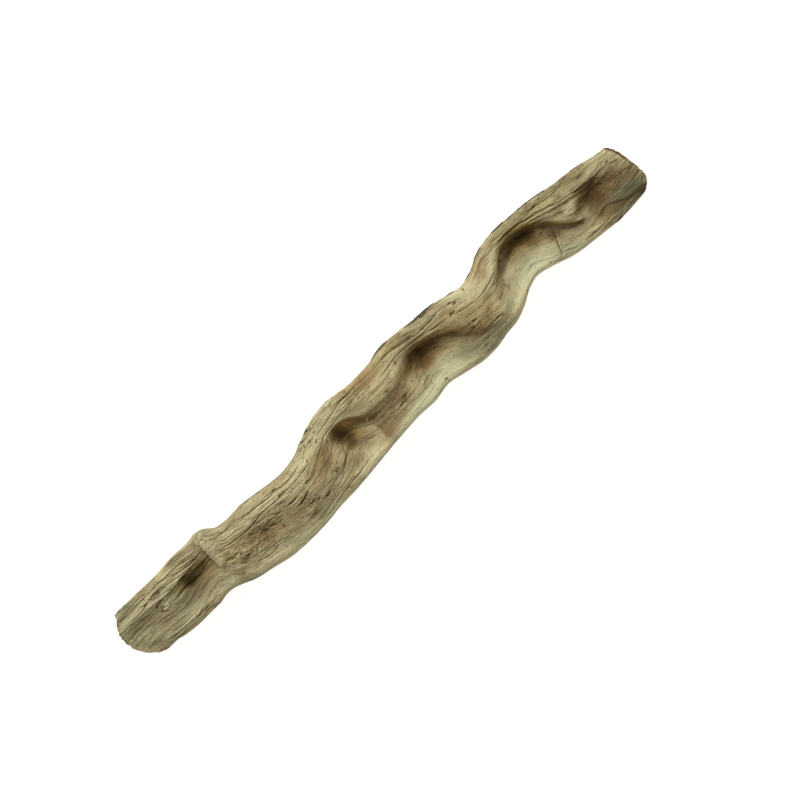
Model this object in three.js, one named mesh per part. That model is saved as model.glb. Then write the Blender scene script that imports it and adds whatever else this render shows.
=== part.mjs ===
// A cut length of liana vine with its bark gone, lying on a surface.
//
// The stem is a flattened ribbon with two thick rims and a thinner web.
// It grew in waves: where the rims stand high the web sinks into a deep
// hollow, and between the hollows the web swells up and the rims hang low.
//
// Millimetres. X runs along the stem, Z is up, and the stem rests on z = 0.

import * as THREE from 'three';
import { mergeVertices } from 'three/addons/utils/BufferGeometryUtils.js';

const LENGTH = 500;

// Half thickness at the two rims and at the web between them.
const RIM = 7.5;
const WEB = 5.5;

// How square the rims are in section: 2 would be round.
const SQUARENESS = 3;

// How far in from each edge the rim thins to the web, as a share of half the width.
const RIM_SHARE = 0.4;

// The upper face slopes over this width along each edge.
const SLOPED_EDGE = 11;

// A hollow keeps this share of its depth right at the rims.
const HOLLOW_AT_RIM = 0.15;

// Moves the outline so that it lies evenly about both axes. The tables below
// give x and y as they were before that.
const ALONG_SHIFT = 1.5;
const SIDE_SHIFT = 0.98;

// The lowest bulges are worn flat this far up, and the stem rests on them.
const WORN = 1.5;

// The saw cuts at the ends bend the stem's stations over this length.
const END_REACH = 40;

// Facets along the stem, across its width and through its thickness.
const ALONG = 84;
const ACROSS = 20;
const THROUGH = 6;

// The two rims along the stem: x, y of the upper edge and of the lower edge,
// mid height of the upper rim and of the lower rim, how far the web bows up,
// and how far the upper face falls toward the upper edge and rises toward the
// lower edge.
const RIMS = [
  [-250, 27.8, -17, 20, 14, 3, 1, 0],
  [-228, 28, -17.8, 20.5, 14, 3, 2, 0],
  [-200, 27.8, -20.2, 21.5, 15.5, 3, 3.5, 0.5],
  [-182, 28.8, -19.8, 22.5, 17.5, 2, 1.5, 1],
  [-170, 27.8, -19.2, 22.5, 19, 2, 1, 1],
  [-161, 28.8, -22.2, 21.5, 19.5, 4, 1, 0],
  [-155, 27, -25, 20, 19, 5, 1, 0],
  [-148, 21.8, -27, 18, 17.5, 6, 0.5, 0.5],
  [-140, 20.2, -28.5, 17.5, 16.5, 6, 0.5, 1.5],
  [-125, 20.5, -32.2, 17.5, 14, 7, 1, 2],
  [-107, 18, -33.6, 16, 8, 9, 1.5, 1.5],
  [-88, 15.5, -33.2, 14.5, 3.8, 12, 2.5, 1],
  [-72, 17.8, -31.5, 16, 8.5, 9, 3, 0.5],
  [-57, 24, -31, 20, 15, 4, 3.5, 1],
  [-43, 28.2, -29.8, 23, 19, 2, 3, 2.5],
  [-27, 29.2, -28.2, 23.5, 20.5, 1, 1, 2],
  [-7, 27.2, -26.2, 20.5, 19, 4, 0.5, 1.5],
  [10, 27.5, -25.2, 20.5, 18.5, 4, 1.5, 2.5],
  [28, 30.2, -25.8, 23, 20, 2, 1.5, 3.5],
  [43, 28.8, -23.8, 24, 20.5, 0, 1.5, 3],
  [57, 26.8, -26.5, 22.5, 17.5, 1, 1.5, 2.5],
  [71, 25.8, -29.6, 20, 11, 5, 1, 1.5],
  [86, 22.4, -30, 16.5, 4, 11, 2, 0],
  [99, 20, -28, 14.5, 5, 12, 3, 0],
  [110, 22.8, -26.8, 16, 12, 8, 4, 0.5],
  [121, 28, -22.5, 20, 16.5, 4, 2.5, 2],
  [131, 30.6, -16.8, 23.5, 19.5, 1, 0.5, 2.5],
  [141, 31.7, -13.8, 25.5, 21.5, 0, 0, 2.5],
  [154, 31, -16.5, 25.5, 21.5, 0, 0, 2.5],
  [171, 29.7, -21.8, 23, 18.5, 2, 0.5, 1.5],
  [193, 25.8, -24.8, 21.5, 16.5, 3, 1.5, 0],
  [214, 22.8, -26.8, 20.5, 15, 2, 1.5, 0],
  [232, 20.6, -26.6, 19, 12, 3, 2, 0],
  [250, 17.4, -25.3, 18, 11, 3, 2, 0],
];

// The hollow that winds along between the rims: x, y of its bottom, depth,
// and how far its wall reaches toward the upper and toward the lower edge.
const HOLLOW = [
  [-250, 5, 3, 7, 10],
  [-222, 5, 2.5, 7, 10],
  [-200, 4.5, 6, 6.5, 12],
  [-186, 5, 12, 6, 13],
  [-174, 5, 11, 7, 12],
  [-163, 3, 3.5, 8, 12],
  [-152, 0, 3, 8, 10],
  [-135, -3.5, 5.5, 7, 11],
  [-118, -7, 4.5, 7, 9],
  [-98, -9, 3, 8, 8],
  [-80, -8, 2, 9, 9],
  [-60, 0, 4, 8, 14],
  [-46, 3, 5.5, 6, 14],
  [-36, 4, 18, 5, 14],
  [-27, 2, 14, 5, 12],
  [-18, -3, 8, 5.5, 11],
  [0, -6, 6, 8, 10],
  [14, -5, 6.5, 8, 11],
  [28, 0, 9.5, 7, 12],
  [37, 4, 15, 5.5, 13],
  [44, 6, 18, 5, 14],
  [54, 5, 15, 5, 14],
  [64, 1, 10, 5, 14],
  [73, -5, 7, 6, 11],
  [84, -11, 4.5, 6, 9],
  [98, -13, 3, 6, 8],
  [110, 0, 2, 6, 12],
  [121, 2, 4, 5, 14],
  [131, 10.5, 9, 4.5, 16],
  [142, 15.5, 15, 4.5, 18],
  [156, 14.5, 16, 4.5, 16],
  [168, 7, 9.5, 5, 12],
  [180, -4, 6, 4.5, 9],
  [192, -6, 5, 5.5, 9],
  [201, -1, 9, 6, 11],
  [211, 1.5, 13, 6, 13],
  [221, 0, 9, 7, 12],
  [235, -8, 4, 9, 9],
  [250, -14, 2.5, 9, 8],
];

// Ledges in the face that looks up. On the right hand of each line the wood
// drops by `drop` over twice `crisp`, and comes back up over `reach`.
// A negative drop is a low welt instead.
const LEDGES = [
  {
    name: 'lip of the long hollow',
    line: [[121, 3], [125, 9], [131, 15.5], [139, 20], [148, 21], [158, 19], [167, 13.5]],
    drop: 6, crisp: 1.1, reach: 8.5,
  },
  {
    name: 'tongue beside the long hollow',
    line: [[165, 13], [172, 9], [178, 2], [184, -4], [191, -8], [198, -9.5]],
    drop: 3.8, crisp: 1.2, reach: 6,
  },
  {
    name: 'upper side of the last hollow',
    line: [[172, 15], [184, 11.5], [194, 10], [206, 9], [217, 7], [223, 2]],
    drop: 2, crisp: 2, reach: 6,
  },
  {
    name: 'fold that runs down from the middle hollow',
    line: [[44, 12], [53, 9.5], [62, 6], [69, 0], [75, -7], [83, -13], [92, -16], [104, -16]],
    drop: 2.4, crisp: 2.2, reach: 8,
  },
  {
    name: 'fold beside the narrow hollow',
    line: [[-34, 12], [-25, 8], [-19, 2], [-14, -2], [-4, -3]],
    drop: 2.2, crisp: 1.6, reach: 8,
  },
  {
    name: 'collar of the joint',
    line: [[-158, 26.5], [-162, 23], [-164.8, 18], [-165.5, 11], [-166.3, 4], [-165, -4]],
    drop: 4, crisp: 1.2, reach: 13,
  },
  {
    name: 'step below the joint',
    line: [[-153, -24], [-157, -18.5], [-160, -13], [-163.5, -7], [-166, -1]],
    drop: 3.5, crisp: 1.2, reach: 12,
  },
  {
    name: 'curl near the lower edge',
    line: [[-129, -15], [-120, -17], [-114, -20], [-111, -24], [-107, -27]],
    drop: -1.6, crisp: 1.4, reach: 6,
  },
  {
    name: 'welt along the lower rim',
    line: [[-24, -20], [-12, -20.7], [4, -20.7], [18, -20], [30, -17.5], [42, -15.5]],
    drop: -1.2, crisp: 1, reach: 5,
  },
  {
    name: 'welt along the lower rim to the cut',
    line: [
      [131, -8.5], [140, -6.5], [150, -7], [160, -11.5], [172, -17.5],
      [188, -21], [205, -22], [224, -22.5], [242, -22],
    ],
    drop: -1.5, crisp: 1, reach: 6,
  },
  {
    name: 'crease below the last hollow',
    line: [[200, -15.5], [211, -13.5], [218, -16.5], [226, -20], [238, -21.5]],
    drop: 1.6, crisp: 1.4, reach: 5,
  },
];

// Each ledge fades in and out over this share of its line.
const LEDGE_FADE = 0.22;

// Straight pieces that stand for one span of a smooth line.
const LINE_STEPS = 5;

// The two cuts: y, and how far the wood stops short of the full length there.
const ROUNDED_CUT = [
  [-18, 22], [-14, 12.5], [-7, 5.5], [0, 1.5], [7, 0], [13, 0.8],
  [16.5, 2], [19, 3.5], [21.5, 5], [24, 7.8], [28, 8.8],
];
const SQUARE_CUT = [
  [-26, 10], [-24, 6.5], [-21, 3], [-17, 0.4], [-12, 0], [-6, 1],
  [0, 2], [7, 2.8], [13, 5], [18, 8], [20, 11],
];

function smooth(share) {
  const t = Math.min(Math.max(share, 0), 1);
  return t * t * (3 - 2 * t);
}

// The table's slope at one of its rows.
function slopeAt(table, row, column) {
  const here = table[row];
  const before = table[Math.max(row - 1, 0)];
  const after = table[Math.min(row + 1, table.length - 1)];
  const stepBack = here[0] - before[0];
  const stepOn = after[0] - here[0];
  if (stepBack === 0) {
    return (after[column] - here[column]) / stepOn;
  }
  if (stepOn === 0) {
    return (here[column] - before[column]) / stepBack;
  }
  const slopeBack = (here[column] - before[column]) / stepBack;
  const slopeOn = (after[column] - here[column]) / stepOn;
  return (slopeBack * stepOn + slopeOn * stepBack) / (stepBack + stepOn);
}

// A smooth curve through the table's points, read at x.
function curveAt(table, x, column) {
  let row = 0;
  while (row < table.length - 2 && x > table[row + 1][0]) {
    row += 1;
  }
  const span = table[row + 1][0] - table[row][0];
  const t = Math.min(Math.max((x - table[row][0]) / span, 0), 1);
  const back = 1 - t;
  const value = table[row][column] * (1 + 2 * t) * back * back
    + table[row + 1][column] * t * t * (3 - 2 * t);
  const bend = slopeAt(table, row, column) * t * back * back
    - slopeAt(table, row + 1, column) * t * t * back;
  return value + span * bend;
}

// Straight lines between the table's points, held flat beyond its ends.
function straightAt(table, x) {
  if (x <= table[0][0]) {
    return table[0][1];
  }
  for (let row = 1; row < table.length; row += 1) {
    if (x <= table[row][0]) {
      const t = (x - table[row - 1][0]) / (table[row][0] - table[row - 1][0]);
      return table[row - 1][1] + t * (table[row][1] - table[row - 1][1]);
    }
  }
  return table[table.length - 1][1];
}

// Many short steps along a smooth line through the points.
function smoothLine(points) {
  const first = points[0];
  const last = points[points.length - 1];
  const ahead = [2 * first[0] - points[1][0], 2 * first[1] - points[1][1]];
  const nextToLast = points[points.length - 2];
  const behind = [2 * last[0] - nextToLast[0], 2 * last[1] - nextToLast[1]];
  const guides = [ahead, ...points, behind];
  const line = [];
  for (let span = 0; span < points.length - 1; span += 1) {
    const [a, b, c, d] = guides.slice(span, span + 4);
    for (let step = 0; step < LINE_STEPS; step += 1) {
      const t = step / LINE_STEPS;
      line.push([0, 1].map((axis) => 0.5 * (
        2 * b[axis]
        + (c[axis] - a[axis]) * t
        + (2 * a[axis] - 5 * b[axis] + 4 * c[axis] - d[axis]) * t * t
        + (3 * b[axis] - a[axis] - 3 * c[axis] + d[axis]) * t * t * t
      )));
    }
  }
  line.push(last);
  return line;
}

// How far a point lies from a line, positive on its left hand,
// and the share of the way along the line where it is nearest.
function besideLine(line, x, y) {
  let distance = Infinity;
  let side = 1;
  let share = 0;
  for (let k = 0; k < line.length - 1; k += 1) {
    const alongX = line[k + 1][0] - line[k][0];
    const alongY = line[k + 1][1] - line[k][1];
    const fromX = x - line[k][0];
    const fromY = y - line[k][1];
    const reached = (fromX * alongX + fromY * alongY) / (alongX * alongX + alongY * alongY);
    const t = Math.min(Math.max(reached, 0), 1);
    const here = Math.hypot(fromX - t * alongX, fromY - t * alongY);
    if (here < distance) {
      distance = here;
      side = alongX * fromY - alongY * fromX >= 0 ? 1 : -1;
      share = (k + t) / (line.length - 1);
    }
  }
  return { offset: distance * side, share };
}

const ledgeLines = LEDGES.map((ledge) => smoothLine(ledge.line));

// How much the ledges lower the upper face at a point.
function ledgesAt(x, y) {
  let height = 0;
  LEDGES.forEach((ledge, index) => {
    const { offset, share } = besideLine(ledgeLines[index], x, y);
    const fade = smooth(Math.min(share, 1 - share) / LEDGE_FADE);
    const step = smooth((ledge.crisp - offset) / (2 * ledge.crisp));
    const away = Math.max(-offset, 0) / ledge.reach;
    height -= ledge.drop * fade * step * Math.exp(-away * away);
  });
  return height;
}

// One superellipse coordinate of the rims' section.
function squared(value) {
  return Math.sign(value) * Math.abs(value) ** (2 / SQUARENESS);
}

// Where a point of the straight block lies in the grown stem.
// u runs 0 to 1 along, v from -1 to 1 across and w from -1 to 1 through.
function grown(u, v, w) {
  const station = (u - 0.5) * LENGTH - ALONG_SHIFT;
  const upperEdge = curveAt(RIMS, station, 1);
  const lowerEdge = curveAt(RIMS, station, 2);
  const upperHeight = curveAt(RIMS, station, 3);
  const lowerHeight = curveAt(RIMS, station, 4);
  const bow = curveAt(RIMS, station, 5);
  const edgeFall = curveAt(RIMS, station, 6);
  const edgeRise = curveAt(RIMS, station, 7);
  const halfWidth = (upperEdge - lowerEdge) / 2;
  const middle = (upperEdge + lowerEdge) / 2;

  const outward = squared(Math.cos(w * Math.PI / 2));
  const upward = squared(Math.sin(w * Math.PI / 2));
  const y = middle + v * (halfWidth - RIM + RIM * outward);
  const across = Math.min(Math.max((y - middle) / halfWidth, -1), 1);
  const inside = smooth((1 - Math.abs(across)) / RIM_SHARE);

  const fromBottom = y - curveAt(HOLLOW, station, 1);
  const depth = curveAt(HOLLOW, station, 2);
  const wall = curveAt(HOLLOW, station, fromBottom < 0 ? 4 : 3);
  const sunk = depth * Math.exp(-((fromBottom / wall) ** 2));

  const midHeight = (upperHeight + lowerHeight) / 2
    + across * (upperHeight - lowerHeight) / 2
    + bow * (1 - across * across)
    - sunk * (HOLLOW_AT_RIM + (1 - HOLLOW_AT_RIM) * inside);
  const halfThickness = WEB + (RIM - WEB) * (1 - inside);
  const nearUpper = Math.min(Math.max((y - upperEdge) / SLOPED_EDGE + 1, 0), 1);
  const nearLower = Math.min(Math.max((lowerEdge - y) / SLOPED_EDGE + 1, 0), 1);
  const slopes = edgeRise * nearLower ** 2 - edgeFall * nearUpper ** 2;
  const onTop = (ledgesAt(station, y) + slopes) * Math.max(upward, 0);
  const z = midHeight + halfThickness * upward + onTop;

  const fromRounded = u * LENGTH;
  const fromSquare = (1 - u) * LENGTH;
  const x = station + ALONG_SHIFT
    + straightAt(ROUNDED_CUT, y) * smooth(1 - fromRounded / END_REACH)
    - straightAt(SQUARE_CUT, y) * smooth(1 - fromSquare / END_REACH);

  return [x, y + SIDE_SHIFT, Math.max(z - WORN, 0)];
}

const block = new THREE.BoxGeometry(1, 1, 1, ALONG, ACROSS, THROUGH);
block.deleteAttribute('normal');
block.deleteAttribute('uv');
const stemGeometry = mergeVertices(block);
const corners = stemGeometry.getAttribute('position');
for (let index = 0; index < corners.count; index += 1) {
  const u = corners.getX(index) + 0.5;
  const v = corners.getY(index) * 2;
  const w = corners.getZ(index) * 2;
  corners.setXYZ(index, ...grown(u, v, w));
}
stemGeometry.computeVertexNormals();

const bareWood = new THREE.MeshStandardMaterial({
  color: 0x8f8461,
  roughness: 0.85,
  metalness: 0,
});

const stem = new THREE.Mesh(stemGeometry, bareWood);
stem.name = 'vine';

const group = new THREE.Group();
group.name = 'liana_vine';
group.add(stem);

export default group;
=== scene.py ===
"""A cut length of liana vine with its bark gone, lying on a pale floor.

The stem is a flattened ribbon of wood with two thick rims. Its finished
surface is grown from the same named values as the solid in part.mjs, in
millimetres, and then gets its furrows, cracks, pits, stains and leftover bark,
with painted shade and light in its hollows, under its ledges and on its rims.
"""

import functools
import math

import bpy
import numpy as np
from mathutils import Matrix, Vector


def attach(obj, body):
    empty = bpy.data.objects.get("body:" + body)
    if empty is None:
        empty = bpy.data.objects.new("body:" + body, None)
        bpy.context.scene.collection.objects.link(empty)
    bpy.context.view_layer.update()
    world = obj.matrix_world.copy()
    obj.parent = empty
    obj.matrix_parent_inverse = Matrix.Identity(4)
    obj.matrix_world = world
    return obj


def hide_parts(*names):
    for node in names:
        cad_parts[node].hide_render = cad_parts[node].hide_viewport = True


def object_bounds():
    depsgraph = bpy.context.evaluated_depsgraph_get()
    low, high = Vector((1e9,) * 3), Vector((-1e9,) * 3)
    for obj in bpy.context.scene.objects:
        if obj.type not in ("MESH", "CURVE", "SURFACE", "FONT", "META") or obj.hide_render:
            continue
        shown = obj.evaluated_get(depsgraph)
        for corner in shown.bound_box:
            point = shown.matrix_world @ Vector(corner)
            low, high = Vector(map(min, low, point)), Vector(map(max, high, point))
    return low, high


bl_info = {
    "name": "Liana vine",
    "version": (1, 0, 0),
    "blender": (4, 5, 0),
    "location": "3D View > Sidebar > Liana",
    "description": "Grows the weathered surface of a cut liana stem and lights it",
    "category": "Object",
}

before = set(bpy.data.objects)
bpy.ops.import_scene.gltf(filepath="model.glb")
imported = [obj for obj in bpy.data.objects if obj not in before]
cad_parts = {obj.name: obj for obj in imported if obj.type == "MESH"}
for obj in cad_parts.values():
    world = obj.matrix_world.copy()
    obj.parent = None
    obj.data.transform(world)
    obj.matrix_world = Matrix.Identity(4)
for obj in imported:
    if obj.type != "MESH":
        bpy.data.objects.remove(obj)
cad_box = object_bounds()

MM = 0.001

# The stem's form, as in part.mjs.
LENGTH = 500.0
RIM = 7.5
WEB = 5.5
SQUARENESS = 3.0
RIM_SHARE = 0.4
SLOPED_EDGE = 11.0
HOLLOW_AT_RIM = 0.15
ALONG_SHIFT = 1.5
SIDE_SHIFT = 0.98
WORN = 1.5
END_REACH = 40.0
LEDGE_FADE = 0.22
LINE_STEPS = 5

# x, y of the upper edge and of the lower edge, mid height of the upper rim
# and of the lower rim, how far the web bows up between them, how far the
# upper face falls toward the upper edge and rises toward the lower edge.
RIMS = np.array([
    (-250, 27.8, -17, 20, 14, 3, 1, 0),
    (-228, 28, -17.8, 20.5, 14, 3, 2, 0),
    (-200, 27.8, -20.2, 21.5, 15.5, 3, 3.5, 0.5),
    (-182, 28.8, -19.8, 22.5, 17.5, 2, 1.5, 1),
    (-170, 27.8, -19.2, 22.5, 19, 2, 1, 1),
    (-161, 28.8, -22.2, 21.5, 19.5, 4, 1, 0),
    (-155, 27, -25, 20, 19, 5, 1, 0),
    (-148, 21.8, -27, 18, 17.5, 6, 0.5, 0.5),
    (-140, 20.2, -28.5, 17.5, 16.5, 6, 0.5, 1.5),
    (-125, 20.5, -32.2, 17.5, 14, 7, 1, 2),
    (-107, 18, -33.6, 16, 8, 9, 1.5, 1.5),
    (-88, 15.5, -33.2, 14.5, 3.8, 12, 2.5, 1),
    (-72, 17.8, -31.5, 16, 8.5, 9, 3, 0.5),
    (-57, 24, -31, 20, 15, 4, 3.5, 1),
    (-43, 28.2, -29.8, 23, 19, 2, 3, 2.5),
    (-27, 29.2, -28.2, 23.5, 20.5, 1, 1, 2),
    (-7, 27.2, -26.2, 20.5, 19, 4, 0.5, 1.5),
    (10, 27.5, -25.2, 20.5, 18.5, 4, 1.5, 2.5),
    (28, 30.2, -25.8, 23, 20, 2, 1.5, 3.5),
    (43, 28.8, -23.8, 24, 20.5, 0, 1.5, 3),
    (57, 26.8, -26.5, 22.5, 17.5, 1, 1.5, 2.5),
    (71, 25.8, -29.6, 20, 11, 5, 1, 1.5),
    (86, 22.4, -30, 16.5, 4, 11, 2, 0),
    (99, 20, -28, 14.5, 5, 12, 3, 0),
    (110, 22.8, -26.8, 16, 12, 8, 4, 0.5),
    (121, 28, -22.5, 20, 16.5, 4, 2.5, 2),
    (131, 30.6, -16.8, 23.5, 19.5, 1, 0.5, 2.5),
    (141, 31.7, -13.8, 25.5, 21.5, 0, 0, 2.5),
    (154, 31, -16.5, 25.5, 21.5, 0, 0, 2.5),
    (171, 29.7, -21.8, 23, 18.5, 2, 0.5, 1.5),
    (193, 25.8, -24.8, 21.5, 16.5, 3, 1.5, 0),
    (214, 22.8, -26.8, 20.5, 15, 2, 1.5, 0),
    (232, 20.6, -26.6, 19, 12, 3, 2, 0),
    (250, 17.4, -25.3, 18, 11, 3, 2, 0),
], float)

# The winding hollow: x, y of its bottom, depth, and how far its wall reaches
# toward the upper and toward the lower edge.
HOLLOW = np.array([
    (-250, 5, 3, 7, 10),
    (-222, 5, 2.5, 7, 10),
    (-200, 4.5, 6, 6.5, 12),
    (-186, 5, 12, 6, 13),
    (-174, 5, 11, 7, 12),
    (-163, 3, 3.5, 8, 12),
    (-152, 0, 3, 8, 10),
    (-135, -3.5, 5.5, 7, 11),
    (-118, -7, 4.5, 7, 9),
    (-98, -9, 3, 8, 8),
    (-80, -8, 2, 9, 9),
    (-60, 0, 4, 8, 14),
    (-46, 3, 5.5, 6, 14),
    (-36, 4, 18, 5, 14),
    (-27, 2, 14, 5, 12),
    (-18, -3, 8, 5.5, 11),
    (0, -6, 6, 8, 10),
    (14, -5, 6.5, 8, 11),
    (28, 0, 9.5, 7, 12),
    (37, 4, 15, 5.5, 13),
    (44, 6, 18, 5, 14),
    (54, 5, 15, 5, 14),
    (64, 1, 10, 5, 14),
    (73, -5, 7, 6, 11),
    (84, -11, 4.5, 6, 9),
    (98, -13, 3, 6, 8),
    (110, 0, 2, 6, 12),
    (121, 2, 4, 5, 14),
    (131, 10.5, 9, 4.5, 16),
    (142, 15.5, 15, 4.5, 18),
    (156, 14.5, 16, 4.5, 16),
    (168, 7, 9.5, 5, 12),
    (180, -4, 6, 4.5, 9),
    (192, -6, 5, 5.5, 9),
    (201, -1, 9, 6, 11),
    (211, 1.5, 13, 6, 13),
    (221, 0, 9, 7, 12),
    (235, -8, 4, 9, 9),
    (250, -14, 2.5, 9, 8),
], float)

# Ledges in the upper face: line, drop on its right hand, half width of the
# step, and the reach over which the drop fades. A negative drop is a welt.
LEDGES = {
    "lip of the long hollow": ([(121, 3), (125, 9), (131, 15.5), (139, 20), (148, 21), (158, 19),
      (167, 13.5)], 6, 1.1, 8.5),
    "tongue beside the long hollow": ([(165, 13), (172, 9), (178, 2), (184, -4), (191, -8),
      (198, -9.5)], 3.8, 1.2, 6),
    "upper side of the last hollow": ([(172, 15), (184, 11.5), (194, 10), (206, 9), (217, 7), (223, 2)],
      2, 2, 6),
    "fold that runs down from the middle hollow": ([(44, 12), (53, 9.5), (62, 6), (69, 0), (75, -7),
      (83, -13), (92, -16), (104, -16)], 2.4, 2.2, 8),
    "fold beside the narrow hollow": ([(-34, 12), (-25, 8), (-19, 2), (-14, -2), (-4, -3)], 2.2, 1.6,
      8),
    "collar of the joint": ([(-158, 26.5), (-162, 23), (-164.8, 18), (-165.5, 11), (-166.3, 4),
      (-165, -4)], 4, 1.2, 13),
    "step below the joint": ([(-153, -24), (-157, -18.5), (-160, -13), (-163.5, -7), (-166, -1)], 3.5,
      1.2, 12),
    "curl near the lower edge": ([(-129, -15), (-120, -17), (-114, -20), (-111, -24), (-107, -27)],
      -1.6, 1.4, 6),
    "welt along the lower rim": ([(-24, -20), (-12, -20.7), (4, -20.7), (18, -20), (30, -17.5),
      (42, -15.5)], -1.2, 1, 5),
    "welt along the lower rim to the cut": ([(131, -8.5), (140, -6.5), (150, -7), (160, -11.5),
      (172, -17.5), (188, -21), (205, -22), (224, -22.5), (242, -22)], -1.5, 1, 6),
    "crease below the last hollow": ([(200, -15.5), (211, -13.5), (218, -16.5), (226, -20),
      (238, -21.5)], 1.6, 1.4, 5),
}

# The two cuts: y, and how far the wood stops short of the full length there.
ROUNDED_CUT = np.array([
    (-18, 22), (-14, 12.5), (-7, 5.5), (0, 1.5), (7, 0), (13, 0.8), (16.5, 2), (19, 3.5), (21.5, 5),
    (24, 7.8), (28, 8.8),
], float)
SQUARE_CUT = np.array([
    (-26, 10), (-24, 6.5), (-21, 3), (-17, 0.4), (-12, 0), (-6, 1), (0, 2), (7, 2.8), (13, 5), (18, 8),
    (20, 11),
], float)

# The finished surface has this many cells along, across and through. The
# block is divided in these steps, each an axis and a number of pieces.
ALONG, ACROSS, THROUGH = 320, 96, 44
DIVISIONS = ((2, 4), (1, 8), (0, 20), (2, 11), (1, 12), (0, 16))

# Cells lie closer together where features run across the stem:
# station, half length, and how many times closer.
CLOSER = [(-165, 7, 3.0), (168, 6, 2.0), (-16, 4, 1.5), (-246, 5, 1.0), (244, 5, 1.0)]

# Sections are measured at this many places along each of their four sides,
# and the cells' spacing along the stem at so many.
SECTION_STEPS = 480
SPACING_STEPS = 2001

# On the rims the cells crowd toward the upper side by this power.
RIM_CROWD = 1.5

# Lines of grain on the upper face, from the lower edge to the upper one: the
# share of the way across that each one marks, and its points. The cells
# follow them by GRAIN_FOLLOW, and their own even spacing by the rest.
GRAIN_LINES = [
    (0.12, [
        (-250, -13), (-228, -14), (-200, -15), (-182, -14.5), (-170, -14), (-162, -16.5), (-155, -20),
        (-148, -22), (-140, -23.5), (-125, -27), (-107, -28.5), (-88, -28.5), (-72, -27), (-57, -25),
        (-43, -23), (-27, -21), (-7, -20.5), (10, -20), (28, -18.5), (43, -16.5), (50, -17.5),
        (57, -20.5), (68, -25), (80, -26.5), (96, -25.5), (107, -23), (116, -18.5), (124, -12.5),
        (131, -8.5), (140, -6.5), (150, -7), (160, -11.5), (172, -17.5), (188, -21), (205, -22.5),
        (224, -23.5), (242, -24), (250, -24),
    ]),
    (0.3, [
        (-250, -5), (-228, -4), (-214, -7), (-200, -8.5), (-187, -6.5), (-175, -4), (-166, -5),
        (-158, -9), (-148, -14), (-140, -16), (-128, -18), (-118, -19), (-107, -20), (-93, -20.5),
        (-82, -20), (-72, -18.5), (-64, -15.5), (-57, -13), (-50, -9.5), (-43, -5), (-36, -3), (-27, -5),
        (-20, -9), (-10, -11.5), (4, -12), (18, -11), (28, -8), (39, -4), (50, -3.5), (60, -7), (68, -14),
        (75, -20), (83, -22.5), (96, -22), (107, -19.5), (115, -14.5), (121, -9), (128, -3), (135, 0),
        (143, 1), (153, 0), (162, -4), (172, -9), (182, -13.5), (192, -15.5), (203, -15.5), (211, -13.5),
        (218, -16.5), (226, -19.5), (238, -20.5), (250, -20.5),
    ]),
    (0.52, [
        (-250, 4), (-228, 5), (-214, 4), (-200, 2), (-187, 3), (-175, 4.5), (-166, 4.5), (-155, 2),
        (-148, 0), (-140, -1), (-128, -3), (-118, -5), (-107, -7), (-93, -10), (-82, -11.5), (-72, -9.5),
        (-64, -5), (-57, 0), (-50, 6), (-43, 11), (-36, 13), (-27, 10.5), (-20, 4.5), (-14, 0), (-4, -1),
        (10, -2), (21, 1), (28, 6.5), (36, 10.5), (43, 12), (53, 9.5), (62, 6), (69, 0), (75, -7),
        (83, -13), (92, -16), (104, -16), (113, -12), (119, -5), (124, 4), (129, 12), (135, 17),
        (143, 19.5), (150, 19.5), (158, 17), (165, 12.5), (172, 8), (178, 2), (184, -4), (191, -8),
        (198, -9.5), (206, -8.5), (212, -8), (218, -9.5), (226, -13), (238, -16), (250, -17),
    ]),
    (0.75, [
        (-250, 13), (-228, 13), (-214, 12), (-203, 11.5), (-193, 12.5), (-182, 12.5), (-162, 12.5),
        (-155, 12), (-148, 9.5), (-140, 7.5), (-125, 5.5), (-107, 4.8), (-88, 5), (-72, 9), (-57, 13.5),
        (-46, 16), (-36, 17.5), (-27, 17.5), (-18, 15.5), (-7, 14), (10, 13.5), (28, 15.5), (43, 14.5),
        (57, 12.8), (68, 11.4), (78, 9), (86, 7), (93, 5.7), (103, 5.5), (113, 7.5), (121, 12), (128, 17),
        (139, 22), (148, 23), (158, 21.5), (168, 17), (178, 13.5), (190, 11), (203, 9.5), (217, 8.5),
        (232, 7.5), (250, 6.5),
    ]),
    (0.9, [
        (-250, 20.5), (-228, 21), (-214, 22), (-200, 21), (-187, 18.5), (-175, 17), (-166, 18),
        (-155, 20), (-148, 16.5), (-140, 15), (-125, 15.3), (-107, 13.3), (-88, 11), (-72, 13.3),
        (-57, 19.5), (-43, 24), (-27, 25.5), (-7, 23.5), (10, 22.5), (28, 24), (43, 21.5), (57, 19.5),
        (71, 19), (86, 15.5), (99, 14.5), (110, 17), (121, 22), (131, 25.5), (141, 27), (154, 26.5),
        (171, 24.5), (193, 20.5), (214, 17.5), (232, 15.5), (250, 13),
    ]),
]
GRAIN_FOLLOW = 0.8

# Thin growth layers that show as even lines, counted round the stem.
GROWTH_LAYERS = 58

# Terraces where layers of fibres have broken away: run along the stem in
# millimetres, number round it, rise in millimetres, and seed.
TERRACES = [(110, 20, 0.4, 4), (75, 38, 0.25, 8)]

# The hollows' painted warm light begins at one depth and is full at the other.
WARM_DEPTH = (6.0, 16.0)

# The window that lights the stem: place and size in metres, and its power. The
# white room round it and the floor give back this much light, and the floor is
# this wide.
WINDOW = (-0.12, 0.88, 1.08)
WINDOW_SIZE = 0.7
WINDOW_POWER = 18.7
ROOM_LIGHT = 0.34
FLOOR_LIGHT = 0.75
FLOOR_SIZE = 8.0

# The picture's width and height, and how far the stem's middle shows left of
# its middle and below it, in pixels. The camera's distance is counted from a
# level this high over the floor.
PICTURE = 800
LEFT_OF_MIDDLE, BELOW_MIDDLE = 17.0, 2.46
COUNTED_FROM = 18 * MM

# Lines that the material draws are kept as distances in this many sets, up
# to this many half widths away.
LINE_SETS = 3
FAR = 4.0

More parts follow.
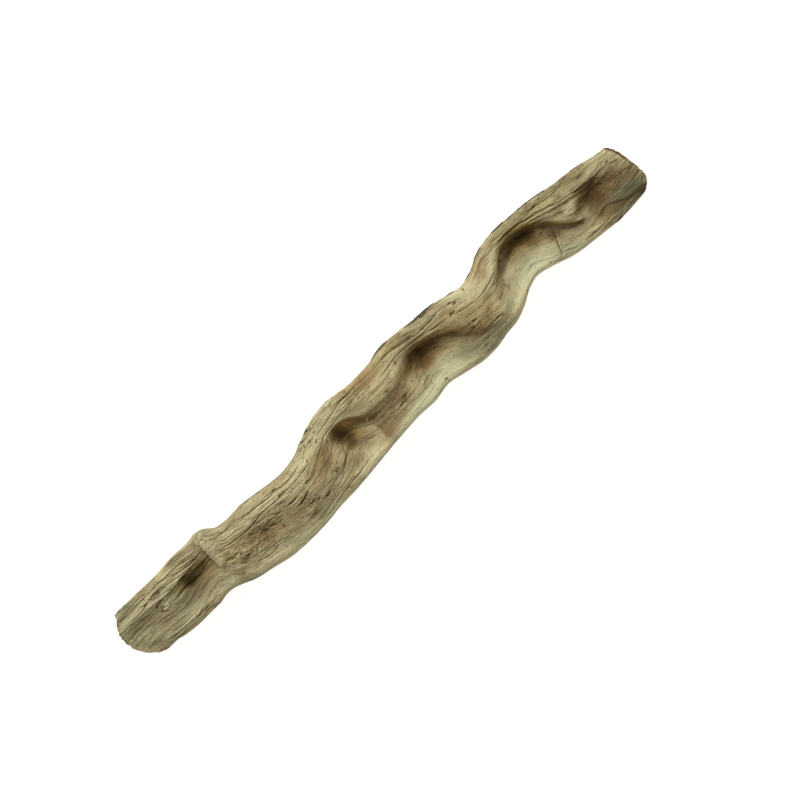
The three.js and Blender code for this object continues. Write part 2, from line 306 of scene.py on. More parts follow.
# The relief is measured down from its highest crests: this share of it lies
# lower, and what stands higher may do so by this much, in millimetres.
BELOW_CRESTS = 92
HIGHEST_CREST = 0.5

# Roughness of the cuts in millimetres, and the radius of the straight pole
# that the grain is drawn on.
SAW_MARKS = 0.45
POLE = 20.0

# Painted shade and dirt under the ledges: how dark, and how far it reaches in millimetres.
LEDGE_SHADE_AND_DIRT = {
    "lip of the long hollow": (0.6, 2.6),
    "tongue beside the long hollow": (0.35, 2),
    "fold that runs down from the middle hollow": (0.4, 2.5),
    "fold beside the narrow hollow": (0.35, 3),
    "upper side of the last hollow": (0.25, 3),
    "collar of the joint": (0.5, 1.6),
    "crease below the last hollow": (0.4, 2),
    "step below the joint": (0.3, 2),
}

# Open furrows that follow the grain on the upper face, and splits with hard
# dark edges of dirt and painted shade: line of points, width and depth.
FURROWS = [
    ([(-246, 17), (-232, 15), (-218, 17), (-207, 18.5), (-193, 17), (-182, 15), (-171, 15),
      (-166, 15.7)], 1.3, 1),
    ([(-243.5, 22.6), (-231, 23.1), (-221, 23.1), (-212, 21.6)], 1.2, 0.8),
    ([(-246, 13), (-228, 13), (-214, 12), (-203, 10.5), (-193, 11.5)], 1.3, 0.5),
    ([(-197, 10.2), (-189, 11.6), (-181, 11.8), (-173, 12.6)], 1.3, 0.8),
    ([(-192, 7.6), (-184, 8.4), (-176, 8.2), (-169, 9)], 1.2, 0.7),
    ([(-190, 4), (-184, 5.2), (-178, 5.6), (-170, 6.6)], 1.7, 0.9),
    ([(-221, 2.1), (-216, 0.2), (-208, -1.4), (-200, -0.8), (-191.6, 1.4)], 1, 0.6),
    ([(-222, -0.8), (-216, -2.9), (-206, -4.4), (-195.5, -2.9), (-187.6, -0.8)], 1.1, 0.7),
    ([(-223, -5.9), (-214, -7.9), (-204, -8.5), (-193.6, -6.4), (-183.3, -4.9)], 1.1, 0.7),
    ([(-230, -10), (-216, -12), (-202, -12), (-191.6, -10)], 1, 0.6),
    ([(-209, 23.5), (-202.6, 21.6), (-195.5, 19), (-187.6, 16.4), (-175.5, 14.5), (-164.8, 14)], 1.2,
      0.9),
    ([(-195.5, 21.1), (-185.5, 18), (-175.5, 15.5), (-167, 15.5)], 1.1, 0.7),
    ([(-185, 22.4), (-178, 19.8), (-171, 19), (-167.6, 20), (-165, 23.4)], 1.1, 0.8),
    ([(-209, 18.5), (-199, 16.2), (-188, 13.9), (-178, 13.2), (-167, 13.6)], 1.1, 0.8),
    ([(-232.4, -16.1), (-216, -17.3), (-200, -17.4), (-184, -17.2)], 1.4, 0.8),
    ([(-190, 25.6), (-183, 24), (-176, 23.4)], 1.1, 0.7),
    ([(-212, 11.4), (-204, 10.9), (-195.5, 11.2), (-186, 12.2), (-178, 11.2)], 1.1, 0.6),
    ([(-183.5, 9.9), (-175.5, 8.9), (-166, 9.4)], 1.1, 0.6),
    ([(-206, 4.3), (-195.5, 5.3), (-187, 5.8), (-181, 5.4), (-175.5, 4.6)], 1.6, 0.9),
    ([(-239, -12), (-225, -13.5), (-207, -15), (-187, -15), (-178, -13)], 1.8, 0.9),
    ([(-157, 14.6), (-150, 15.4), (-143, 14.8), (-136, 13.4)], 1.2, 0.8),
    ([(-153, 12.6), (-147.5, 9.8), (-139, 8.4), (-128.5, 6.4)], 1.1, 0.9),
    ([(-162.5, 8.6), (-158, 7.8), (-153.5, 5.6)], 1, 0.6),
    ([(-160, 7.5), (-150, 5.7), (-139, 4), (-128, 3), (-118, 5), (-107, 4.3), (-93, 4), (-82, 4.3),
      (-71, 5.7), (-64, 6.5)], 1.4, 1),
    ([(-162, 23.5), (-159, 19.5), (-155, 16.5), (-151, 14.8)], 1.1, 0.8),
    ([(-159.5, 24.5), (-156, 21), (-152, 18.5), (-147, 17.2)], 1, 0.6),
    ([(-158, 14.5), (-146, 15), (-136, 15), (-128, 12.5), (-118, 11.5), (-103, 9.3), (-89, 8.6),
      (-78, 10), (-73, 11.5)], 1.2, 0.9),
    ([(-128, 2), (-118, 0.7), (-111, -2), (-106, -5.7)], 1.6, 0.9),
    ([(-150.8, 12.4), (-139.6, 10.9), (-128.4, 8.9)], 1, 0.6),
    ([(-128.4, 5.7), (-120, 5.3), (-113, 2.2), (-105, -0.8)], 1.1, 0.7),
    ([(-128, -17), (-119, -18.5), (-113.5, -21.5), (-111, -25.5)], 1.1, 0.7),
    ([(-148, -14), (-139, -19), (-132, -20.7), (-121, -19)], 1.2, 0.7),
    ([(-93, -28.5), (-82, -29.2), (-71, -27.5), (-60, -25.5), (-50, -24.2), (-39, -22), (-32, -19)],
      1.3, 0.7),
    ([(-64, 20), (-57, 21.5), (-50, 23), (-43, 24.3), (-36, 25.6), (-28, 26.3)], 1.2, 0.8),
    ([(-53, 15.7), (-46, 17), (-36, 18.5), (-28, 20.7), (-20, 22), (-11, 20.7)], 1.3, 0.8),
    ([(-53, 10.7), (-43, 12.8), (-32, 14.6), (-21, 15.3), (-11, 17)], 1.4, 0.9),
    ([(-71, -5.7), (-64, -3.5), (-57, -1.5), (-50, 1.5), (-44, 4)], 1.4, 0.4),
    ([(-61, -15.7), (-53, -14.3), (-47, -10), (-43, -4.3), (-40, 0)], 1.4, 0.2),
    ([(11, 14.3), (18, 15), (28, 16.4), (37, 16.4), (46, 14.3), (57, 12.8), (68, 11.4), (77, 10.7)],
      1.5, 1.2),
    ([(14, 21.4), (25, 21.8), (36, 20.7), (44, 18.5), (53, 17.5), (64, 17), (75, 17.8)], 1.5, 1.1),
    ([(28, 26.4), (39, 25), (46, 22), (53, 21.4)], 1.2, 0.7),
    ([(78, 8.6), (86, 7), (93, 5.7), (103, 5), (113, 6.4), (121, 9.3), (126, 12.8)], 1.4, 0.8),
    ([(0, -15.7), (14, -15), (25, -14.3), (36, -12)], 1.2, 0.6),
    ([(-20, -20.5), (0, -20.5), (14, -20.5), (28, -18.2), (39, -16)], 1.1, 0.7),
    ([(84, -14.3), (93, -15.7), (106, -15.7)], 1.3, 0.9),
    ([(57, 8), (63, 5.7), (69.3, 0.8), (74, -6), (79, -12.5)], 1.1, 0.5),
    ([(36, 9.4), (43, 10.2), (52, 9.2), (60, 5.5)], 1.1, 0.5),
    ([(37, 6.2), (44, 7.4), (52, 6), (58, 3)], 1.1, 0.5),
    ([(38, 3.6), (45, 4.4), (53, 2.6), (60, -0.6)], 1.1, 0.5),
    ([(39, 12.6), (48, 12.4), (57, 10.4)], 1, 0.5),
    ([(80, -19.3), (89, -20.7), (100, -21.4), (111, -19.3)], 1.1, 0.6),
    ([(93, -9.3), (107, -11.4), (118, -10.7)], 1.1, 0.5),
    ([(82, 1.4), (96, -0.7), (111, -0.7)], 1.1, 0.5),
    ([(160, 25), (175, 23.5), (187, 22), (203, 20)], 1, 0.5),
    ([(130, 20), (140, 21.9), (153, 22.1), (164, 20), (175, 17.8), (187, 13.6), (196, 11.4), (206, 9.3),
      (217, 7.8), (232, 6.4)], 1.7, 1.4),
    ([(157, 18.5), (168, 16.5), (178, 13), (187, 10.5), (195, 9.5)], 1.1, 0.7),
    ([(160, 16), (168, 13.2), (176, 9.6), (184, 6.6), (192, 5.6)], 1.1, 0.7),
    ([(139, 18.6), (150, 19.2), (158, 17.3), (165, 12.8)], 1, 0.5),
    ([(142, 15.5), (150, 16), (158, 13.5), (164, 9.5)], 1, 0.4),
    ([(132, -8), (140, -5.8), (147, -5.8), (155, -9.3), (164, -13.6), (175, -17.8), (187, -20.4),
      (203, -20.8), (214, -20.4), (228, -22.4)], 1.5, 1),
    ([(202, -15), (212, -13.2), (218, -16.4), (227, -20), (239, -22)], 3, 0.8),
    ([(220, -2.8), (223, -7), (228, -11.4), (235, -14.3)], 1.2, 0.6),
    ([(225, 8.6), (235, 7), (246, 3.5)], 1.2, 0.6),
    ([(199.7, 2.8), (206.9, 2.8), (215, 3.3), (220.2, 1.2), (223.2, -2.9)], 1.5, 0.5),
    ([(201.8, 7.3), (209.8, 7.8), (218, 6.3), (224.2, 3.3), (228.3, -0.8)], 1.3, 0.5),
    ([(203, 5.2), (210, 5.6), (217, 4.6)], 1, 0.6),
    ([(202, 0.4), (209, 0), (216, -0.6)], 1.1, 0.6),
    ([(232.4, 14), (243.6, 11.9)], 1, 0.6),
    ([(235.4, -2.9), (244.6, -5.4)], 1.1, 0.7),
    ([(175, -10.7), (185, -14.3), (200, -15.7)], 1.1, 0.5),
]
SPLITS = [
    ([(-102, -5), (-88, -5)], 1.6, 1.6),
    ([(-97, -10.7), (-88, -9.5), (-79, -6.4)], 1.8, 1.6),
    ([(-75, -13.6), (-68, -14), (-60, -13.2)], 1.3, 1),
    ([(174.5, 5.2), (162, -20.5)], 1.1, 1),
    ([(121, -2), (122.5, -7.5)], 1.2, 1.2),
    ([(-105, 0), (-99, 0.3)], 1.4, 1),
    ([(-97, -0.4), (-90, 0.4), (-84, 0.8)], 1.4, 1),
    ([(175, 2), (179, -3), (185, -7), (191, -8.8)], 1.3, 0.6),
]

# Pits and insect holes on the upper face, and chips of fresh pale wood that
# stand up: x, y, half length, half width, depth or height.
PITS = [
    (-222.5, 16.8, 1.7, 0.8, 0.7), (-216.5, 17.4, 1.4, 0.8, 0.6), (-208.3, 17.8, 1.6, 0.9, 0.6),
    (-212.5, 18.3, 2.4, 0.5, 0.4), (-216.4, 9.6, 1.5, 1.1, 0.8), (-215.6, 5.2, 1.5, 0.9, 0.9),
    (-213, 3.2, 1.8, 0.7, 0.6), (-213, 10.6, 2.6, 0.8, 0.6), (-156.8, -2, 1.8, 0.8, 0.9),
    (-153.2, -3.2, 2.2, 0.9, 1.1), (-150, -3, 1.6, 0.8, 0.9), (-148, -5.4, 1.2, 0.6, 0.5),
    (-156, -6.2, 1.4, 0.6, 0.5), (-111.8, -12.6, 1.1, 1.2, 1.3), (-110.4, -14.6, 0.8, 1.1, 1.2),
    (-99, 5, 1.2, 0.8, 0.8), (-95.5, 4.8, 1.6, 0.5, 0.6), (-78, -2.4, 1.4, 1, 1.6),
    (-75, -2.4, 1, 0.5, 0.6), (-68, 8.5, 1.1, 0.8, 1.2), (-69, -5, 1.3, 0.6, 0.8), (-57, -11, 2, 1, 0.9),
    (-60, -9.6, 1.2, 0.6, 0.7), (-62, 17.4, 0.7, 1.6, 0.7), (-50.5, 21.6, 0.8, 1, 0.9),
    (-49.5, 19.8, 1, 0.9, 0.8), (-56.5, 17, 1.4, 0.7, 0.7), (-53, 13.6, 1.3, 0.7, 0.7),
    (-85, -15.2, 1.8, 0.8, 0.7), (-81, -16.4, 1.6, 0.9, 0.7), (-74, -19.6, 2.2, 0.9, 0.8),
    (-71, -18.6, 1, 0.8, 0.6), (-105.6, 14.6, 1.3, 0.6, 0.5), (-99, 11, 1.8, 0.8, 0.6),
    (79, 10.4, 2.8, 1.1, 0.9), (83, 17, 2.2, 0.7, 1.1), (86.2, 14.6, 1.6, 1, 1.4),
    (97, 17, 1.2, 0.7, 0.5), (26, 13.8, 0.8, 1.6, 0.6), (15, 8.8, 1, 0.5, 0.5), (8, 3, 1, 1.4, 0.5),
    (14, -7.8, 1.7, 0.8, 0.7), (8, -10.4, 1.4, 0.6, 0.6), (87, -5, 1.8, 0.9, 0.8),
    (83, -8.4, 2.2, 0.7, 0.6), (101, -15.2, 2, 0.7, 0.9), (104, -15.8, 1.4, 0.8, 0.9),
    (112, -6.4, 1.6, 0.6, 0.8), (115, -5, 1, 0.7, 0.8), (115, 3.6, 1.4, 0.6, 0.7),
    (44, -19.6, 1.4, 0.8, 0.9), (45.2, -21.2, 0.7, 1, 0.7), (82, -23.2, 1.6, 0.6, 0.6),
    (212, 15.4, 1, 0.8, 0.8), (203, 22.6, 1.8, 0.7, 0.8), (236, 9, 1.6, 0.6, 0.6),
    (165, 6.4, 1, 0.8, 0.8), (121.6, -1.4, 0.9, 1.4, 1), (131, 12.8, 1.2, 1, 0.9),
    (129, 15.4, 0.9, 0.7, 0.6), (-14, 25, 1, 0.8, 0.6), (-10, 14.6, 1, 0.6, 0.6),
    (-0.5, 12.8, 0.8, 0.6, 0.5), (-47, 8, 1, 0.7, 0.6), (173, 23, 2.4, 0.6, 0.5),
    (180, 24.6, 1.2, 0.7, 0.6), (223, 19.6, 1.4, 0.6, 0.6),
]
CHIPS = [
    (-212.2, 4.8, 2.4, 1, 0.9), (-210.8, 6.6, 2.2, 0.9, 0.7), (-212.4, 8.2, 1.2, 0.8, 0.7),
    (-16.5, -0.8, 1.8, 0.8, 0.5), (87, -6.6, 3, 0.6, 0.4), (-151, 0.4, 3, 0.7, 0.5),
    (-143, -4.5, 2, 0.5, 0.4),
]

# Soft spots on the upper face: x, y, half length, half width, strength, and
# the turn in degrees of those that lie turned. First smooth calm wood with few
# lines, then crumbled wood, its surface broken into small flakes.
CALM = [
    (-162, 5, 4, 14, 0.6), (-164, -10, 8, 10, 1.2, 10), (-25, -20, 14, 6, 1), (62, -14, 20, 8, 0.9, -28),
    (150, 0, 20, 11, 0.9, -8), (186, -10, 16, 6, 0.7, -20), (180, 3, 10, 5, 1, -38),
    (212, -4, 14, 8, 0.7), (228, 16, 14, 4, 0.5), (104, 16, 16, 5, 0.9), (-175, -14, 10, 5, 0.7),
    (-33, -12, 8, 9, 0.8), (120, -6, 10, 8, 0.8, 50), (96, 4, 18, 8, 0.6), (-40, 19, 12, 3, 0.6, 8),
    (-75, 12, 12, 3, 0.6, 6), (-50, -3, 12, 6, 0.5, 35), (-214, 13, 12, 2, 0.6), (10, 20, 16, 6, 0.6),
    (30, -22, 20, 4, 0.8),
]
CRUMBLED = [
    (-20, 24, 50, 5, 0.4), (70, 19, 36, 5, 0.4), (180, 26, 46, 4, 0.8, -6), (-126, -5, 18, 8, 1),
    (-144, -6, 10, 8, 1), (4, -8, 18, 8, 0.5), (88, -9, 16, 4, 0.6), (186, 2, 14, 7, 0.6, -30),
    (232, 6, 16, 10, 0.45), (-84, -16, 14, 5, 0.9), (-208, 17, 8, 3, 0.9), (-55, 18, 8, 5, 0.7),
    (-160, 18, 6, 10, 0.5), (-52, 8, 10, 4, 0.5, 15), (-243, 0, 7, 16, 0.5), (60, 27, 26, 3, 0.5),
    (-68, -2, 12, 5, 0.4, 15), (35, -10, 8, 6, 0.4),
]

# Stains, given in the same way.
STAINS = {
    # Soaked spots: water stain, and painted shade under the lips and at the bottom of the hollows.
    "soaked": [
        (-188.5, 11.6, 4, 2.2, 0.9), (-187, 5.4, 5, 2.2, 1.05), (-177, 8.5, 8, 4, 0.15),
        (-167.5, 16.4, 2.2, 2.2, 0.6), (-186, 8, 12, 6, 0.2), (-38.5, 6, 4, 5, 0.5, 10),
        (-35, -4, 4, 6, 0.85), (-37.5, 10.5, 4.5, 2.6, 0.45, 5), (-37, 3, 7, 9, 0.2),
        (188, -8.5, 10, 3, 0.25, -32), (43, 8.6, 10, 3.4, 0.6, -5), (44, 7.5, 12, 5, 0.4, -10),
        (63, 3, 11, 2.6, 0.1, -32), (78, -7, 8, 2.5, 0.1, -35), (36, 11.5, 8, 2, 0.3),
        (143, 16.8, 12, 1.8, 0.3), (155, 15.8, 8, 2, 0.3, -25), (160, 15, 9, 2, 0.3, -30),
        (136, 16, 5, 1.6, 0.3, 25), (155, 13.5, 12, 4, 0.15, -30), (171, 5.5, 7, 2, 0.35, -45),
        (182, -3.5, 9, 2, 0.15, -32), (194, -8.5, 5, 1.6, 0.2, -10), (208, 4.5, 9, 5, 0.1),
        (213, -5, 9, 5, 0.85), (228, -8, 6, 4, 0.3), (157, 8, 8, 4, 0.5, -30), (43, 1, 7, 4, 0.3),
        (-28, -8, 5, 3, 0.25), (171, 2, 7, 4, 0.25, -40), (143, -3, 6, 4, 0.1), (171, 0, 6, 4, 0.4, -40),
        (157, 13.5, 8, 2.5, 0.25, -20), (217, 2.5, 7, 3, 0.3, -30), (208, 2, 14, 8, 0.12),
        (-116, -2, 8, 2.2, 0.2, -20), (-112, -12, 8, 3, 0.3, -20), (-131, 0.5, 6, 2, 0.15),
        (240, -21, 8, 3, 0.8, -10), (226, -21, 14, 3.4, 0.6, -10), (168, -8, 1.6, 8, 0.25, 5),
    ],
    "brown": [
        (-235, 10, 15, 4.5, 0.75), (-211.5, 17.3, 4.4, 1.6, 1), (-130, -4.5, 14, 7, 0.55, -6),
        (-127, -12, 11, 5, 0.9), (-98, -9.5, 12, 4, 0.4), (-108, -9, 12, 5, 0.2, -10),
        (-92, -13, 18, 5, 0.6, 4), (-60, -12, 14, 6, 0.35, 10), (66, -16, 9, 5, 0.5, -30),
        (65, 25, 8, 3, 0.4, -4), (-185, -12, 7, 5, 0.3), (-57, -2, 6, 4, 0.4, 20),
        (-71, 1, 5, 3, 0.3, 10), (-44, -13, 8, 6, 0.4), (-146, -10, 8, 5, 0.35),
        (-64, -1, 14, 3.5, 0.4, 22), (-44, 7, 10, 3, 0.2, 10), (-16, 11, 8, 4, 0.5),
        (-14, -19, 8, 4, 0.6), (-29, -5, 11, 8, 0.7, -20), (-12, -9, 10, 9, 0.6), (6, -6, 17, 7, 0.7),
        (-2, -16.5, 8, 5, 0.5), (-186, 0, 8, 5, 0.45), (-172, 3, 6, 4, 0.3), (-157, -14, 6, 5, 0.35),
        (-157, 9, 5, 4, 0.3), (-243, 0, 6, 5, 0.5), (-43, -17, 9, 5, 0.4), (114, -3, 7, 4, 0.4, 40),
        (114, 15, 6, 4, 0.5), (43, 22, 6, 4, 0.5, -10), (71, 9, 6, 3, 0.4, -20), (28, 15, 6, 3, 0.3),
        (14, -9, 6, 4, 0.5), (-14, -18, 6, 3, 0.2), (-86, 14, 8, 3, 0.4), (4, 3, 8, 5, 0.1),
        (32, 8, 10, 5, 0.2, 20), (50, 4, 14, 6, 0.5, -18), (42, -2, 8, 4, 1.1), (-60, -4, 6, 4, 0.4),
        (-28, -11, 7, 5, 0.4), (185, -10, 9, 4, 0.5, -20), (71, -9, 6, 3.5, 0.4, -30),
        (242, -12, 6, 6, 0.2), (76, -3, 12, 5, 0.6, -32), (82, -13, 10, 5, 0.6, -20),
        (119, 2, 6, 5, 0.5, 45), (150, 20.5, 18, 3, 0.15), (170, 12, 12, 4, 0.5, -36),
        (157, 7, 9, 6, 1, -30), (171, -1, 9, 5, 0.9, -38), (208, 3, 13, 7, 0.45), (212, -5, 12, 7, 1.3),
        (230, -7, 13, 9, 1, -10), (212, -12, 14, 6, 0.9), (222, -20, 12, 5, 0.7),
        (187, -7, 12, 3, 0.4, -34), (218, -17, 14, 4, 0.7, -6), (88, 2, 12, 5, 0.4, -12),
        (-214, 25.5, 14, 3, 0.7), (-185, -3, 16, 7, 0.7), (-75, -17, 12, 4, 0.2),
        (-56, 18, 9, 5, 0.3, 20), (-219, 3, 16, 5, 0.35), (-178, 16, 8, 2, 0.3, -5),
        (156, 27, 20, 3, 0.2), (168, 22, 14, 3, 0.15, -12), (232, 4, 12, 5, 0.5),
        (40, 16, 16, 2, 0.5, -6), (-240, -10, 10, 3, 0.4), (-240, 24, 8, 3, 0.4),
    ],
    "rust": [
        (-53, 7, 7, 3, 0.7, 20), (-68, 0.5, 9, 3.5, 0.4, 15), (-189, 24.3, 8, 2.2, 0.5, -8),
        (-206, 20, 4, 4, 0.5), (0, 21, 15, 6, 0.7), (116, 21, 11, 6, 0.6, 10), (-98, 12, 20, 3, 0.35, -4),
        (207, -23.6, 10, 2, 0.8, -3), (236, 11, 10, 3.6, 0.3), (-190, -16.5, 20, 2.2, 0.6),
        (-60, -27, 14, 2.6, 0.5, 6), (8, 3, 3, 3, 0.6), (14, -3, 12, 5, 0.4), (26, 13.6, 3, 3, 0.5),
        (76, 19, 12, 3.5, 0.25, -4), (180, 24, 20, 3.5, 0.3, -6), (-12, -26, 14, 1.6, 0.5),
        (30, 3, 6, 3, 0.4, 20), (-240, 11, 8, 2, 0.5), (228, -1, 8, 3, 0.4, -20),
        (-44, 24, 10, 2.5, 0.35, 8), (98, -5, 12, 3, 0.25), (101, -12, 12, 3, 0.2), (71, 24.5, 8, 2, 0.8),
        (-26, 2, 6, 3, 0.4, -30), (-174, 7, 8, 4, 0.5), (-128, -3, 14, 6, 0.5),
        (-54, -3, 10, 6, 0.25, 15), (86, -12, 8, 4, 0.5, -20), (114, 8, 8, 9, 0.35, 30),
        (182, 6, 8, 4, 0.4, -30), (240, 4, 6, 9, 0.2), (-88, 2, 16, 5, 0.2), (-198, 24, 9, 2, 0.3),
    ],
    "green": [
        (-80, -23, 24, 6, 0.3), (-60, -14, 12, 4, 0.35), (92, -22, 18, 6, 0.7),
        (70, -17, 10, 5, 0.5, -20), (233, -16, 16, 7, 1, -18), (240, -22, 8, 5, 0.8, -20),
        (-238, 26, 12, 3, 0.6), (-236, -8, 10, 8, 0.4), (-196, -5, 24, 7, 0.3), (-180, 26, 10, 3, 0.4),
        (-170, -11, 9, 6, 0.6), (58, -9, 14, 6, 0.5, -28), (145, 4, 12, 6, 0.7), (-244, 22, 6, 6, 0.4),
        (168, -12, 14, 6, 0.25, -16), (-208, 2, 40, 26, 0.3), (20, -20, 20, 4, 0.1),
        (183, -6, 6, 2.5, 0.6, -30), (40, -8, 12, 4, 0.3), (232, 14, 12, 4, 0.3),
        (178, -12, 14, 4, 0.3, -14), (-42, 20, 12, 5, 0.3), (-30, -10, 6, 5, 0.3),
        (-150, 24, 12, 3, 0.4, -20), (-160, -8, 4, 6, 0.4), (-155, -22, 8, 5, 0.7, -40),
        (212, -22, 14, 3, 0.5),
    ],
    # Pale spots: bleached wood, and painted light on the lower rim's edge and on walls that face from the
    # window.
    "pale": [
        (99, 16.5, 16, 5, 0.6), (38, -20, 20, 5, 1.1), (-25, -21, 12, 5, 0.6), (10, -21.5, 22, 3.6, 0.5),
        (116, -16, 10, 5, 0.9, 35), (143, -11, 16, 4, 0.9), (126, -12, 8, 6, 0.4, 50),
        (-68, 10.5, 20, 4, 1, 10), (-189, -10, 12, 4, 0.7), (-228, -9, 8, 3, 0.6), (-171, -15, 7, 5, 0.5),
        (-71, 3, 8, 3, 0.6, 10), (-202, -12, 12, 6, 0.8), (184, -12, 20, 5, 0.5, -16),
        (146, 25, 20, 4, 0.6), (126, 15, 7, 9, 0.9, -20), (157, -14, 13, 3.4, 1.1, -20),
        (-46, 20.5, 18, 8, 1, 12), (-130, 9.5, 18, 3.5, 0.9, -6), (-100, 6, 22, 4, 0.8, -4),
        (-120, 2, 18, 4, 0.4, -6), (-210, 18, 24, 5, 0.95), (-232, 14, 12, 4, 0.5), (-243, 17, 6, 6, 0.5),
        (-128, -20, 12, 4, 0.5), (140, 1, 10, 6, 0.25), (-54, -6, 8, 3, 0.3, 35), (-84, 1, 14, 4.5, 0.9),
        (-28, 23, 10, 5, 0.6), (190, 1, 6, 6, 0.8, -40), (-130, -26, 24, 4, 0.7, -4),
        (190, 18.5, 20, 3, 0.5, -8), (164, 22, 12, 3, 0.5, -12), (206, 6, 10, 3, 0.3),
        (57, 12, 8, 4, 0.6, -20), (-27, 4, 6, 4, 0.6, -30), (100, -11, 10, 5, 0.7), (-200, 9, 8, 4, 0.8),
        (238, 10.5, 12, 7, 1.5, -6), (200, -6, 9, 4, 0.8), (200, -15, 6, 4, 0.5), (-47, 9, 5, 3, 0.8, 10),
        (56, 18, 6, 4, 0.3), (-71, 9, 6, 3, 0.4), (-28, 3, 5, 3, 0.5, -30), (128, 8, 6, 5, 0.6, 20),
        (114, 6, 6, 4, 0.4, 30), (157, 21, 8, 3, 0.5, -10), (-114, 14, 14, 3, 0.4, -6),
        (240, 8, 5, 4, 0.5), (-157, -2, 5, 4, 0.4), (-228, -8, 5, 3, 0.3), (57, 14, 5, 3, 0.4, -20),
        (-144, 9, 10, 9, 0.7), (62, -19, 12, 5, 0.35, -30), (52, -7, 12, 4, 0.8, -22),
        (62, -13, 12, 4, 0.2, -28), (-80, -29.5, 34, 3.5, 1, 3), (24, -25, 20, 3.4, 1.6),
        (86, 18, 8, 5, 0.5), (171, -20, 14, 3, 0.8, -14), (-73, -14, 7, 4, 0.4),
        (-160, 20, 4, 6, 0.4, 30), (-205, 24, 14, 3, 0.4), (68, 21, 16, 2.5, 0.5, -4),
        (28, 16, 16, 6, 0.4), (30, 7, 10, 4, 0.7, 10), (0, 3, 8, 4, 0.5), (4, 12, 12, 5, 0.4),
        (118, 9, 10, 5, 0.5, 30), (-92, 8, 14, 3, 0.7), (158, -5, 14, 6, 0.3, -14),
        (-58, 25, 12, 2, 0.5, 20), (-202, 10, 8, 4, 1.2), (-184, 15, 10, 4, 0.5), (-173, 12, 6, 5, 0.5),
        (-30, -26, 12, 3, 0.8), (164, -15, 14, 4, 0.8, -16), (-194, 19, 12, 5, 1.1, -5),
        (128, 11, 6, 8, 1.1), (205, -2, 8, 4, 0.4, -10), (214, 9, 8, 3, 0.5), (242, 8, 6, 4, 0.9),
        (228, 16, 12, 5, 0.4), (180, 3, 9, 5, 0.8, -38), (20, 12, 16, 3, 0.5), (100, 8, 14, 4, 0.5),
    ],
    "honey": [
        (-8, 24, 22, 6, 0.35), (30, 24, 20, 6, 0.4), (43, 6, 10, 5, 0.6), (150, 24, 18, 6, 0.3),
        (180, 20, 20, 5, 0.3, -8), (210, 20, 20, 6, 0.3, -6), (242, 2, 8, 14, 0.35),
        (-150, 0, 14, 10, 0.4), (-123, -4, 20, 10, 0.4), (-62, 2, 22, 11, 0.4, 15), (92, 2, 20, 10, 0.35),
        (98, -9, 16, 7, 0.35), (6, 8, 20, 12, 0.35), (208, -18, 14, 6, 0.4), (-28, 6, 8, 6, 0.3, -30),
        (64, 9, 18, 12, 0.3, -10), (-46, -10, 12, 10, 0.3), (160, 16, 20, 7, 0.25, -12),
    ],
    "lichen": [
        (-240, 8, 12, 20, 0.45), (14, -21, 18, 5, 0.5), (38, -18, 18, 7, 0.5), (58, -16, 15, 7, 0.5, -20),
        (140, -7, 15, 7, 0.6), (152, -7, 14, 5, 0.5, -16), (174, -17, 14, 6, 0.4, -10),
        (88, 19, 12, 4, 0.3),
    ],
}

# Bark left along the upper edge, and in two spots on the lower one:
# x, y, half length, half width. And how thick it is.
BARK_THICKNESS = 0.35
BARK = [
    (18, 29.6, 5, 1), (27, 30.2, 6, 1.2), (60, 26.4, 7, 1.1), (70, 25.6, 7, 1.4), (89, 21.6, 4, 1),
    (119, 27, 5, 1), (125, 28.6, 4, 1.2), (146, 31.4, 7, 1), (160, 30.6, 6, 1.6), (165, 30, 4, 1),
    (176, 29.2, 5, 1), (-54, 25.2, 4, 1.6), (-246, 27.8, 4, 1), (-30, 29.4, 5, 0.8), (205, 24.4, 4, 0.9),
    (214, 23, 3, 0.9), (224, 22, 5, 1), (213, -26.8, 2.6, 1.5), (-182, -20, 4, 0.9), (-104, 18.6, 8, 0.7),
    (104, 21.8, 3, 0.9), (-64, 21.2, 3, 0.4), (186, 27.6, 4, 0.8),
]


def linear(code):
    """An sRGB hex colour as the linear numbers that a shader takes."""
    parts = [int(code[i:i + 2], 16) / 255 for i in (1, 3, 5)]
    return tuple(p / 12.92 if p <= 0.04045 else ((p + 0.055) / 1.055) ** 2.4 for p in parts)


def smooth(share):
    t = np.clip(share, 0, 1)
    return t * t * (3 - 2 * t)


def curve_at(table, x, column):
    """A smooth curve through the table's points, read at x."""
    xs, values = table[:, 0], table[:, column]
    slopes = np.gradient(values, xs)
    row = np.clip(np.searchsorted(xs, x) - 1, 0, len(xs) - 2)
    span = xs[row + 1] - xs[row]
    t = np.clip((x - xs[row]) / span, 0, 1)
    back = 1 - t
    value = values[row] * (1 + 2 * t) * back**2 + values[row + 1] * t**2 * (3 - 2 * t)
    return value + span * (slopes[row] * t * back**2 - slopes[row + 1] * t**2 * back)


def smooth_line(points):
    """Many short steps along a smooth line through the points."""
    p = np.array(points, float)
    guides = np.vstack([2 * p[0] - p[1], p, 2 * p[-1] - p[-2]])
    t = (np.arange(LINE_STEPS) / LINE_STEPS)[:, None]
    line = []
    for span in range(len(p) - 1):
        a, b, c, d = guides[span:span + 4]
        curved = (2 * a - 5 * b + 4 * c - d) * t**2 + (3 * b - a - 3 * c + d) * t**3
        line.append(0.5 * (2 * b + (c - a) * t + curved))
    return np.vstack([*line, p[-1:]])


